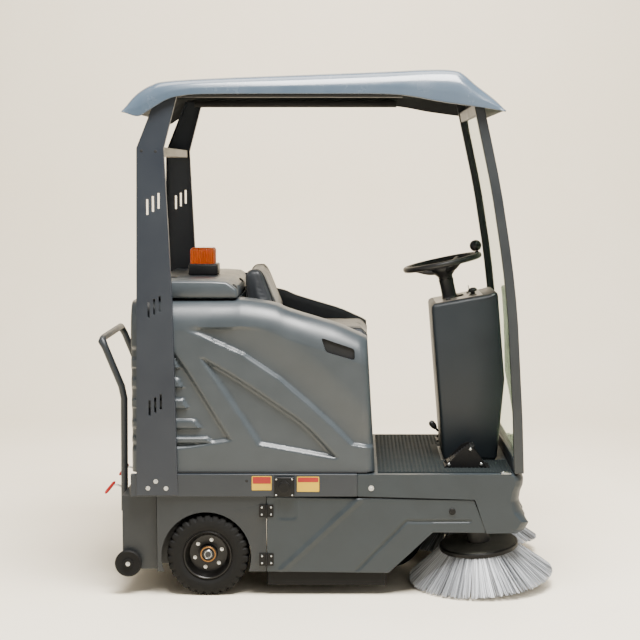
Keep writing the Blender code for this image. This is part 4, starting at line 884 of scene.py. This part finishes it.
def make_fixings(paint):
    """Bolts, screws, holes, plates, the studs of the deck and the feet of the posts."""
    bolts = []
    for side, sign in SIDES:
        out = (0, sign, 0)
        bolts += [hex_bolt(0.0050, 0.005, (x, sign * 0.5048, z), out)
                  for x, z in ((-0.699, 0.435), (-0.668, 0.462), (-0.628, 0.434))]
        bolts.append(hex_bolt(0.0062, 0.006, (0.179, sign * 0.4945, 0.433), out))
        # Painted shade: the holes are dark discs without highlight, so they read as deep.
        plugs = [screw(0.006, 0.0012, (x, sign * y, z), out) for x, y, z in (
            (-0.709, 0.5045, 1.754), (-0.655, 0.5045, 1.752), (-0.587, 0.4992, 0.473),
            (-0.587, 0.4992, 0.445), (-0.311, 0.4992, 0.463))]
        piece(f"hole_plugs_{side}", merged(*plugs), paint["cavity_shade"], "root")
    piece("body_bolts", merged(*bolts), paint["zinc"], "root")
    for name, low, high, finish in (("rail_plate", (-0.291, 0.426), (-0.213, 0.482), "label_yellow"),
                                    ("rail_plate_head", (-0.288, 0.452), (-0.216, 0.479), "label_red"),
                                    ("rail_strip", (-0.113, 0.420), (-0.026, 0.480), "label_yellow"),
                                    ("rail_strip_head", (-0.110, 0.458), (-0.029, 0.477), "label_red")):
        thick = 0.0007 if name.endswith("head") else 0.0004
        outline = rounded_outline(low, high, 0.003, 3)
        piece(name, slab(outline, -0.4990, -0.4997 - thick), paint[finish], "root")
    corners = [(x, z) for x in (-0.1945, -0.1315) for z in (0.4095, 0.4725)]
    piece("socket_screws", merged(*[screw(0.0035, 0.0018, (x, -0.5158, z), (0, -1, 0)) for x, z in corners]),
          paint["zinc"], "root")
    x, y = np.meshgrid(np.linspace(0.213, 0.727, 33), np.linspace(-0.447, 0.447, 56), indexing="ij")
    keep = ~((x > 0.45) & (np.abs(y) < 0.20))
    stud = lathe([(0, 0), (0.0052, 0), (0.0040, 0.0013), (0, 0.0015)], 8)
    studs = repeated(stud, [Matrix.Translation((a, b, 0.4903)) for a, b in zip(x[keep], y[keep])])
    piece("deck_studs", studs, paint["deck_rubber_shaded"], "root")
    for side, sign in SIDES:
        middle = sign * POST_SIDE
        foot = rounded_block((0.690, middle - 0.020, 0.4885), (0.730, middle + 0.012, 0.4925), 0.0015, 2)
        bolt = screw(0.006, 0.004, (0.700, middle, 0.4920), (0, 0, 1))
        piece(f"post_foot_{side}", merged(foot, bolt), paint["zinc"], "root")


def make_gap_strips(paint):
    """Dark rubber strips in the gap above each door as painted shade inside it, and the flange along the bin's
    rear edge.
    """
    flange = rounded_block((-0.8075, -0.4515, 0.3895), (-0.7665, 0.4515, 0.3948), 0.0018, 2)
    piece("bin_flange", flange, paint["powder_bin_shaded"], "bin")
    # Painted shade: a dark strip behind the gap above each door, so the gap reads as shade.
    for side, sign in SIDES:
        strip = rounded_block((0.128, sign * 0.476 - 0.006, 0.366), (0.572, sign * 0.476 + 0.006, 0.404),
                              0.003, 2)
        piece(f"door_gap_shade_{side}", strip, paint["grip_rubber"], "root")


def make_beacon(paint):
    """The beacon's lens: a rounded block whose walls swell and sink in a cosine of 6 mm pitch, on a smooth
    dome."""
    low, high = (-0.5715, -0.0555, 1.2925), (-0.4705, 0.0555, 1.3595)
    outline = rounded_outline(low[:2], high[:2], 0.014, 10)
    loop = resampled(outline, 320)
    middle = (loop.min(0) + loop.max(0)) / 2
    away = unit(loop - middle)
    travelled = np.arange(len(loop)) / len(loop)
    ribs = 0.0016 * (np.cos(2 * pi * travelled * 40) - 1)
    heights = np.concatenate([np.linspace(low[2], high[2] - 0.014, 6),
                              high[2] - 0.014 + 0.014 * np.sin(np.linspace(0.2, pi / 2, 7))])
    shrink = np.concatenate([np.zeros(6), 0.016 * (1 - np.cos(np.linspace(0.2, pi / 2, 7)))])
    depth = np.concatenate([np.ones(6), np.linspace(1, 0, 7)])
    rings = [np.column_stack([loop + away * (ribs[:, None] * d - s), np.full(len(loop), h)])
             for h, s, d in zip(heights, shrink, depth)]
    lens = piece("beacon_cover", skin(np.array(rings)), paint["amber"], "hatch", 60)
    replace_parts(lens, "beacon_lens")


# ---------------------------------------------------------------- wheels


def make_wheels(paint):
    """Block-tread tyres and bolted rims. The tread alternates: the radius drops in slots across each
    shoulder."""
    for side, sign in SIDES:
        place = facing((0, sign, 0), (-0.468, sign * 0.395, 0.162))
        tyre, rim = tyre_part(0.0975, 0.1618, 0.100), rim_part()
        made = piece(f"tyre_tread_{side}", moved(tyre, place), paint["tyre"], f"rear_wheel_{side}",
                     30)
        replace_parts(made, f"tyre_{side}")
        made = piece(f"rim_dish_{side}", moved(rim, place), paint["enamel"], f"rear_wheel_{side}",
                     30)
        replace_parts(made, f"rim_{side}")
        ring = lathe([(0.0265, 0.069), (0.0315, 0.069), (0.0315, 0.0735), (0.0300, 0.0750), (0.0265, 0.0750)],
                     48, True)
        piece(f"hub_ring_{side}", moved(ring, place), paint["bronze"], f"rear_wheel_{side}")
        cap = lathe([(0, 0.062), (0.018, 0.062), (0.018, 0.080), (0.0165, 0.0815), (0.0140, 0.0790),
                     (0.0115, 0.0790), (0.0100, 0.0820), (0.0060, 0.0825), (0.0050, 0.0800), (0, 0.0800)], 32)
        bolts = [hex_bolt(0.0052, 0.009, (0.056 * cos(a), 0.056 * sin(a), 0.0545), (0, 0, 1), 0.8)
                 for a in np.arange(6) * pi / 3 + 0.3]
        piece(f"hub_metal_{side}", moved(merged(cap, *bolts), place), paint["zinc"], f"rear_wheel_{side}")
        small = lathe([(0.0068, 0.0045), (0.019, 0.0045), (0.020, 0.009), (0.044, 0.010), (0.048, 0.0085),
                       (0.0530, 0.013), (0.0534, 0.020), (0.0530, 0.027), (0.048, 0.0315), (0.044, 0.030),
                       (0.020, 0.0295), (0.019, 0.0355), (0.0068, 0.0355)], 56, True)
        place = facing((0, sign, 0), (-0.784, sign * 0.455, 0.128))
        made = piece(f"bin_tyre_{side}", moved(small, place), paint["tyre"], f"bin_wheel_{side}", 30)
        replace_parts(made, f"bin_wheel_{side}")
        nut = hex_bolt(0.0058, 0.008, (0, 0, 0.0340), (0, 0, 1), 0.85)
        piece(f"bin_wheel_nut_{side}", moved(nut, place), paint["zinc"], f"bin_wheel_{side}")
    drive = lathe([(0.0145, -0.049), (0.040, -0.049), (0.040, -0.030), (0.094, -0.029), (0.100, -0.041),
                   (0.128, -0.041), (0.136, -0.036), (0.1395, -0.026), (0.1397, 0.026), (0.136, 0.036),
                   (0.128, 0.041), (0.100, 0.041), (0.094, 0.029), (0.040, 0.030), (0.040, 0.049),
                   (0.0145, 0.049)], 96, True)
    made = piece("drive_wheel", moved(drive, facing((0, 1, 0), (0.26, 0, 0.140))), paint["tyre"],
                 "front_wheel", 30)
    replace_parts(made, "front_wheel")


def tyre_part(inner, outer, width):
    """A solid tyre. The angle carries 30 blocks on each shoulder, the two rows half a block apart; between
    blocks the surface sinks by 7.5 mm through a smooth step, and three narrow grooves run round the
    crown."""
    around = 30 * 12
    angle = 2 * pi * np.arange(around) / around
    profile = chain(((inner, 0.008), (inner + 0.018, 0.002), (inner + 0.040, 0.0035), (outer - 0.010, 0.008),
                     (outer - 0.002, 0.014), (outer, 0.022), (outer, width * 0.5), (outer, width - 0.022),
                     (outer - 0.002, width - 0.014), (outer - 0.010, width - 0.008),
                     (inner + 0.040, width - 0.0035), (inner + 0.018, width - 0.002), (inner, width - 0.008)),
                     5)
    radius, height = profile[:, 0], profile[:, 1]
    block = 30 * angle[None] + pi * (height[:, None] > width / 2)
    slot = 1 - smoothstep(np.abs(((block / (2 * pi)) % 1) - 0.5), 0.13, 0.20)
    from_middle = np.abs(height - width / 2)
    on_shoulder = smoothstep(from_middle, 0.014, 0.020) * smoothstep(radius, outer - 0.024, outer - 0.014)
    sunk = 0.0075 * slot * on_shoulder[:, None]
    wave = 0.004 * np.cos(2 * pi * (height - width / 2) / 0.016).clip(0.6, 1) - 0.0024
    crown = np.where(radius > outer - 0.004, wave, 0)
    grooves = np.clip(crown, 0, None) * (from_middle < 0.021)
    r = radius[:, None] - sunk - grooves[:, None]
    points = np.stack([r * np.cos(angle), r * np.sin(angle), np.broadcast_to(height[:, None], r.shape)], -1)
    return skin(points, True)


def rim_part():
    """A pressed rim: a raised lip, a sloping well and a flat bolt disc, turned as one closed profile."""
    profile = ((0.016, 0.0125), (0.034, 0.0125), (0.034, 0.030), (0.070, 0.040), (0.082, 0.066),
               (0.086, 0.012), (0.0968, 0.0065), (0.0968, 0.0925), (0.0945, 0.0955), (0.0905, 0.0960),
               (0.0880, 0.0930), (0.0860, 0.0800), (0.0780, 0.0660), (0.0740, 0.0560), (0.0700, 0.0545),
               (0.0400, 0.0545), (0.0370, 0.0560), (0.0350, 0.0700), (0.016, 0.0715))
    return lathe(profile, 96, True)


# ---------------------------------------------------------------- brushes


def strands(start, end, width, taper=0.55, tuft=1):
    """Bristles as three-sided rods from start to end points, as (points, faces, tones). A strand's tone is
    two parts its tuft's and three parts its own."""
    ahead = unit(end - start)
    side = unit(np.cross(ahead, np.array([0.31, 0.27, 0.91])))
    circle = circles(side, np.cross(side, ahead), 3)
    near, far = start[:, None] + circle * width, end[:, None] + circle * width * taper
    points = np.concatenate([near, far], 1).reshape(-1, 3)
    base = np.array([[0, 1, 4, 3], [1, 2, 5, 4], [2, 0, 3, 5]])
    count = len(start)
    quads = (base[None] + 6 * np.arange(count)[:, None, None]).reshape(-1, 4)
    tips = np.array([[3, 4, 5]]) + 6 * np.arange(count)[:, None]
    roots = np.array([[2, 1, 0]]) + 6 * np.arange(count)[:, None]
    tones = np.repeat(0.4 * np.repeat(RNG.random(count // tuft), tuft) + 0.6 * RNG.random(count), 6)
    return points, quads.tolist() + tips.tolist() + roots.tolist(), tones


def bristles(name, part, material, body):
    """An object of strands, with their tones in the mesh attribute "tone"."""
    obj = piece(name, part[:2], material, body, 60, weld=False)
    tone = obj.data.attributes.new("tone", "FLOAT", "POINT")
    tone.data.foreach_set("value", part[2])
    return obj


def make_side_brushes(paint):
    """Each brush is a moulded disc with three rings of tufts. A tuft leaves the disc's rim and fans out and
    down to the floor, and its strands spread about its own line."""
    for side, sign in SIDES:
        normal = Vector((-tan(radians(4.5)), sign * tan(radians(5)), 1))
        place = facing(normal, (0.618, sign * 0.305, 0.168))
        disc = lathe([(0, -0.013), (0.148, -0.013), (0.156, -0.010), (0.1585, -0.004), (0.1585, 0.004),
                      (0.154, 0.0085), (0.140, 0.0098), (0.070, 0.0102), (0.064, 0.0122), (0, 0.0122)], 96)
        made = piece(f"brush_disc_{side}", moved(disc, place), paint["disc_dust_and_light"], f"side_brush_{side}")
        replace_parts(made, f"side_brush_{side}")
        band = lathe([(0.1500, -0.0135), (0.1592, -0.0105), (0.1596, 0.0040), (0.1560, 0.0080),
                      (0.1500, 0.0090)], 96,
                     True)
        piece(f"brush_band_{side}", moved(band, place), paint["oxide"], f"side_brush_{side}")
        parts, per = [], 7
        rings = ((0.1515, 0.290, 150), (0.1400, 0.266, 96), (0.1240, 0.234, 60))
        for ring, (root, reach, tufts) in enumerate(rings):
            angle = np.repeat(2 * pi * (np.arange(tufts) + 0.5 * ring) / tufts, per)
            spread = RNG.normal(0, 1, (len(angle), 3))
            start_angle = angle + spread[:, 0] * 0.012
            end_angle = angle + 0.03 + spread[:, 0] * 0.020
            start_radius = root + 0.003 * spread[:, 1]
            end_radius = np.clip(reach + 0.006 * spread[:, 1], 0, 0.2915)
            start = np.stack([start_radius * np.cos(start_angle), start_radius * np.sin(start_angle),
                              np.full(len(angle), -0.012)], -1)
            end = np.stack([end_radius * np.cos(end_angle), end_radius * np.sin(end_angle),
                            np.clip(-0.127 + 0.004 * spread[:, 2], -0.1300, -0.11)], -1)
            parts.append(strands(start, end, 0.0015, 0.8, per))
        tufts = moved(merged(*[part[:2] for part in parts]), place)
        made = bristles(f"brush_tufts_{side}", (*tufts, np.concatenate([part[2] for part in parts])),
                        paint["nylon"], f"side_brush_{side}")
        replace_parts(made, f"side_brush_{side}")


def make_broom(paint):
    """The main broom: a core tube with eight wavy rows of bristles, each row a chevron along the axis."""
    core = lathe([(0.0107, -0.381), (0.058, -0.381), (0.060, -0.378), (0.060, 0.378), (0.058, 0.381),
                  (0.0107, 0.381)], 64, True)
    place = facing((0, 1, 0), (-0.11, 0, 0.135))
    made = piece("broom_core", moved(core, place), paint["abs_black"], "main_broom")
    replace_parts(made, "main_broom")
    along = np.repeat(np.linspace(-0.368, 0.368, 150), 5)
    starts, ends = [], []
    for row in range(8):
        angle = 2 * pi * row / 8 + 0.5 * np.abs(along) / 0.368
        wobble = RNG.normal(0, 1, (len(along), 3))
        root, tip = angle + wobble[:, 0] * 0.02, angle + wobble[:, 0] * 0.05
        reach = 0.1265 + np.clip(0.0015 * wobble[:, 1], -0.003, 0.003)
        starts.append(np.stack([0.058 * np.cos(root), 0.058 * np.sin(root), along], -1))
        ends.append(np.stack([reach * np.cos(tip), reach * np.sin(tip),
                              np.clip(along + 0.004 * wobble[:, 2], -0.371, 0.371)], -1))
    part = strands(np.concatenate(starts), np.concatenate(ends), 0.0013)
    made = bristles("broom_bristles", (*moved(part[:2], place), part[2]), paint["nylon_black"], "main_broom")
    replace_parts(made, "main_broom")


# ---------------------------------------------------------------- steering wheel and seat


def make_steering(paint):
    """A moulded wheel: the rim's radius is scalloped under the fingers, and three flat spokes run into a
    dished hub."""
    place = Matrix.Translation((0.4815, 0, 1.296)) @ Matrix.Rotation(-radians(12), 4, "Y")
    around, across = 2 * pi * np.arange(168) / 168, 2 * pi * np.arange(18) / 18
    scallop = 0.0006 * np.cos(around * 42)[:, None] * (np.cos(across) > 0.2)[None]
    grip = 0.0124 + scallop
    r = 0.1555 - np.cos(across)[None] * grip
    points = np.stack([r * np.cos(around)[:, None], r * np.sin(around)[:, None], grip * np.sin(across)[None]],
                      -1)
    rim = skin(points, True)
    hub = lathe([(0, -0.146), (0.0155, -0.146), (0.0155, -0.069), (0.0295, -0.069), (0.0310, -0.058),
                 (0.0480, -0.040), (0.0560, -0.028), (0.0560, -0.018), (0.048, -0.008), (0.028, -0.0040),
                 (0.026, -0.0055), (0, -0.0055)], 48)
    spokes = []
    for k in range(3):
        path = chain(((0.030, -0.034), (0.072, -0.028), (0.118, -0.010), (0.150, -0.001)), 6)
        wide = np.interp(path[:, 0], (0.03, 0.09, 0.15), (0.026, 0.017, 0.012))
        angle = 2 * pi * np.arange(16) / 16
        rings = np.stack([np.broadcast_to(path[:, :1], (len(path), 16)), wide[:, None] * np.cos(angle),
                          path[:, 1:] + np.interp(path[:, :1], (0.03, 0.15), (0.014, 0.008)) * np.sin(angle)],
                          -1)
        spokes.append(moved(skin(rings), Matrix.Rotation(radians(60 + 120 * k), 4, "Z")))
    boot = chain(((0.0180, -0.158), (0.0340, -0.158), (0.0345, -0.150), (0.0310, -0.142), (0.0300, -0.100),
                  (0.0310, -0.076), (0.0305, -0.0705), (0.0180, -0.0700)), 4)
    piece("column_sleeve", moved(lathe(boot, 48, True), place), paint["abs_black"], "root")
    stem = moved(lathe([(0, -0.016), (0.0078, -0.016), (0.0078, 0.0035), (0, 0.0035)], 24),
                 Matrix.Translation((0.150, 0, 0.0135)))
    made = piece("steering_rim", moved(merged(rim, hub, *spokes, stem), place), paint["abs_black"],
                 "steering", 50)
    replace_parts(made, "steering_wheel")
    knob = chain(((0, 0.0005), (0.012, 0.0005), (0.020, 0.007), (0.0252, 0.021), (0.021, 0.035),
                  (0.011, 0.0435), (0, 0.0455)), 6)
    knob[:, 0] = np.clip(knob[:, 0], 0, None)
    made = piece("knob_ball", moved(lathe(knob, 40), place @ Matrix.Translation((0.150, 0, 0.018))),
                 paint["abs_black"], "spinner")
    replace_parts(made, "spinner_knob")


def cushion_grid(outline, half):
    """A closed form along Y: the outline's loop is repeated at each station, and its size falls near both
    ends along a quarter circle of 24 mm, so the ends are round."""
    loop = resampled(np.asarray(outline, float), 160)
    middle = (loop.min(0) + loop.max(0)) / 2
    edge = 0.024
    turn = np.linspace(0, pi / 2, 8)
    y = np.concatenate([-half + edge * (1 - np.sin(turn[::-1])),
                        np.linspace(-half + edge, half - edge, 46)[1:-1], half - edge * (1 - np.sin(turn))])
    away = np.clip(edge - (half - np.abs(y)), 0, edge)
    pulled = edge - np.sqrt(np.clip(edge**2 - away**2, 0, None))
    size = (loop.max(0) - loop.min(0)) / 2
    rings = [np.column_stack([middle[0] + (loop[:, 0] - middle[0]) * (1 - p / size[0]),
                              np.full(len(loop), station),
                              middle[1] + (loop[:, 1] - middle[1]) * (1 - p / size[1])])
             for station, p in zip(y, pulled)]
    return skin(np.array(rings))


def swell(obj, cap):
    """Remeshes a cushion, blows it up as cloth for 20 frames, caps how far each point moved, and smooths
    it."""
    remesh = obj.modifiers.new("even mesh", "REMESH")
    remesh.mode, remesh.voxel_size = "VOXEL", 0.006
    bake(obj)
    start = coordinates(obj)
    cloth = obj.modifiers.new("cloth", "CLOTH")
    cloth.settings.use_pressure = True
    cloth.settings.uniform_pressure_force = 4.0
    cloth.settings.effector_weights.gravity = 0.0
    scene = bpy.context.scene
    for index in range(1, 21):
        scene.frame_set(index)
    bake(obj)
    scene.frame_set(1)
    shift = coordinates(obj) - start
    length = np.linalg.norm(shift, axis=1, keepdims=True)
    put_coordinates(obj, start + shift * np.minimum(1, cap / np.maximum(length, 1e-9)))


def make_seat(paint):
    """The seat: two upholstered pads, blown up as cloth, then pressed in along their sewn channels, and
    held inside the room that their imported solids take."""
    cushion_outline = ((-0.198, 0.9635), (0.148, 0.9635), (0.170, 0.988), (0.170, 1.014), (0.150, 1.034),
                       (-0.100, 1.032), (-0.150, 1.043), (-0.182, 1.044))
    back_outline = ((-0.2140, 0.9635), (-0.295, 0.9635), (-0.320, 1.150), (-0.327, 1.262), (-0.314, 1.278),
                    (-0.277, 1.282), (-0.268, 1.268), (-0.207, 1.114), (-0.2000, 1.060), (-0.2060, 1.000))
    for name, outline, half, node in (("cushion_pad", cushion_outline, 0.236, "seat_cushion"),
                                      ("back_pad", back_outline, 0.226, "seat_back")):
        pad = piece(name, cushion_grid(outline, half), paint["vinyl"], "seat", 60)
        swell(pad, 0.009)
        points = coordinates(pad)
        x, y, z = points.T
        seams = np.abs(np.abs(y) - 0.165)
        channel = 0.0050 * np.exp(-(seams / 0.0045)**2)
        low, high = (np.array(corner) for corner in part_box(node))
        middle = (low + high) / 2
        if node == "seat_cushion":
            direction = np.stack([0 * x, 0 * y, np.sign(z - middle[2])], -1)
        else:
            core = np.interp(z, (0.95, 1.28), (-0.252, -0.300))
            direction = np.stack([np.sign(x - core), 0 * y, 0 * z], -1)
        points = points - direction * channel[:, None]
        points = np.clip(points, low + 0.0015, high - 0.0015)
        put_coordinates(pad, points)
        smooth = pad.modifiers.new("smooth", "SUBSURF")
        smooth.levels = smooth.render_levels = 1
        pad.data.shade_smooth()
        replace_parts(pad, node)
        make_piping(paint, name, pad, outline, half)


def make_piping(paint, name, pad, outline, half):
    """Welt piping round each side seam: a thin cord that follows the outline 30 mm in from each end of the
    pad."""
    loop = resampled(rounded_loop(outline, 0.012), 200)
    bpy.context.view_layer.update()
    surface_tree = BVHTree.FromObject(pad, bpy.context.evaluated_depsgraph_get())
    cords = []
    grown = loop + unit(loop - loop.mean(0)) * 0.002
    for sign in (-1, 1):
        path = np.column_stack([grown[:, 0], np.full(len(grown), sign * (half - 0.030)), grown[:, 1]])
        path = np.array([surface_tree.find_nearest(point)[0] for point in path])
        path = (np.roll(path, 1, 0) + path + np.roll(path, -1, 0)) / 3
        side = unit(np.cross(unit(np.roll(path, -1, 0) - np.roll(path, 1, 0)), (0, 1, 0)))
        circle = circles(side, np.broadcast_to((0, 1, 0), side.shape), 8)
        cords.append(skin(path[:, None] + circle * 0.0024, True))
    piece(f"{name}_piping", merged(*cords), paint["grip_rubber"], "seat", 60)


# ---------------------------------------------------------------- controls and small parts


def make_latches(paint):
    """Each latch is a bent rod with a dipped grip on its end: the grip's radius eases in at both ends."""
    for side, sign in SIDES:
        rod = chain([(x, sign * 0.20, z) for x, z in ((-0.8215, 0.352), (-0.834, 0.372), (-0.868, 0.390),
                                                      (-0.890, 0.386), (-0.900, 0.373))], 8)
        made = piece(f"latch_rod_{side}", pipe(rod, 0.0042, 14), paint["zinc"], f"latch_{side}")
        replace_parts(made, f"bin_latch_{side}")
        share = np.linspace(0, 1, 24)
        grip = np.array([-0.874, sign * 0.20, 0.4035]) + share[:, None] * np.array([-0.0415, 0, -0.0510])
        radius = 0.0066 * np.sqrt(np.clip(1 - np.abs(2 * share - 1)**7, 0.05, 1))
        made = piece(f"latch_grip_{side}", pipe(grip, radius, 18), paint["red_plastic"], f"latch_{side}")
        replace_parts(made, f"bin_latch_{side}")


def make_controls(paint):
    """The console's panel with its gauge and switches, the pedals' treads and brackets, and on the hatch
    the round cap and the domed buffers of its front slope."""
    slope = atan2(1.173 - 1.131, 0.660 - 0.428)

    def on_panel(part, x, y, lift=0.0):
        height = 1.131 + (x - 0.428) * tan(slope)
        return moved(part, Matrix.Translation((x, y, height)) @ Matrix.Rotation(-slope, 4, "Y")
                     @ Matrix.Translation((0, 0, lift)))

    plate = stacked(rounded_outline((-0.098, -0.150), (0.098, 0.150), 0.012),
                    [(-0.002, 0), (0.0012, 0), (0.0018, 0.0006)])
    panel = piece("control_panel", on_panel(plate, 0.545, 0), paint["panel_beige"], "root")
    low, high = (np.array(corner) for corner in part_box("stop_button"))
    reach = (high[1] - low[1]) / 2 + 0.002
    opening = lathe([(0, -0.03), (reach, -0.03), (reach, 0.03), (0, 0.03)], 48)
    carve(panel, [on_panel(opening, *((low + high) / 2)[:2])])
    gauge = lathe([(0, 0), (0.027, 0), (0.027, 0.004), (0.0245, 0.0055), (0.0230, 0.0040), (0, 0.0040)], 48)
    piece("gauge_bezel", on_panel(gauge, 0.545, 0, 0.0018), paint["enamel"], "root")
    rockers = merged(*[on_panel(rounded_block((-0.010, -0.007, 0), (0.010, 0.007, 0.006), 0.002, 3), x, y,
                                0.0015)
                       for x, y in ((0.500, -0.11), (0.500, -0.075), (0.500, 0.075), (0.500, 0.11))])
    piece("rocker_switches", rockers, paint["abs_black"], "root")
    horn = lathe([(0, 0), (0.013, 0), (0.013, 0.004), (0.009, 0.006), (0, 0.0065)], 32)
    piece("horn_button", on_panel(horn, 0.606, -0.045, 0.0015), paint["abs_black"], "root")
    for name, y in (("accelerator", -0.315), ("brake", 0.315)):
        tread = rounded_block((-0.0032, -0.040, 0), (0.0032, 0.040, 0.0026), 0.0010, 2)
        along = Vector((0.594 - 0.488, 0, 0.578 - 0.502))
        turn = Matrix.Rotation(-atan2(along.z, along.x), 4, "Y")
        bars = repeated(tread, [Matrix.Translation((0.488, y, 0.502)) @ turn
                                @ Matrix.Translation((d, 0, 0.0046)) for d in np.linspace(0.014, 0.118, 9)])
        piece(f"{name}_treads", bars, paint["grip_rubber"], name)
        profile = rounded_loop(((0.472, 0.4915), (0.644, 0.4915), (0.610, 0.545), (0.578, 0.5815),
                                (0.548, 0.569)), 0.010)
        cheeks = [slab(profile, y - 0.0515, y - 0.0475), slab(profile, y + 0.0475, y + 0.0515)]
        base = rounded_block((0.474, y - 0.0515, 0.4908), (0.655, y + 0.0515, 0.4950), 0.0015, 2)
        piece(f"{name}_bracket", merged(base, *cheeks), paint["oxide"], "root")
        pins = [screw(0.0065, 0.0035, (px, y + edge, pz), (0, np.sign(edge), 0)) for edge in (-0.0515, 0.0515)
                for px, pz in ((0.492, 0.503), (0.578, 0.566), (0.622, 0.505))]
        piece(f"{name}_pins", merged(*pins), paint["zinc"], "root")
    # Painted shade: the three domes are dark, so they read as slots in the hatch's slope.
    buffer = lathe([(0, 0), (0.011, 0), (0.010, 0.004), (0.006, 0.0065), (0, 0.007)], 24)
    buffers = repeated(buffer, [facing((0.78, 0, 0.62), (-0.3631, y, 1.2191))
                                @ Matrix.Diagonal((1.2, 1.8, 1, 1)) for y in (-0.37, 0.0, 0.37)])
    piece("hatch_slots", buffers, paint["cavity_shade"], "hatch")
    cap = lathe([(0, 0), (0.036, 0), (0.036, 0.003), (0.033, 0.0052), (0.012, 0.006), (0.010, 0.0048),
                 (0, 0.0048)], 48)
    piece("hatch_cap", moved(cap, Matrix.Translation((-0.645, -0.18, 1.2440))), paint["abs_black"], "hatch")


# ---------------------------------------------------------------- build

paint = make_materials()
make_stage(paint["floor"])
make_frame_parts(paint)
make_hood(paint)
make_roof(paint)
make_doors(paint)
make_fixings(paint)
make_gap_strips(paint)
make_beacon(paint)
make_wheels(paint)
make_side_brushes(paint)
make_broom(paint)
make_steering(paint)
make_seat(paint)
make_latches(paint)
make_controls(paint)
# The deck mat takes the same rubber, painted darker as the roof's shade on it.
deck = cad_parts["deck_mat"]
deck.data.materials.clear()
deck.data.materials.append(paint["deck_rubber_shaded"])
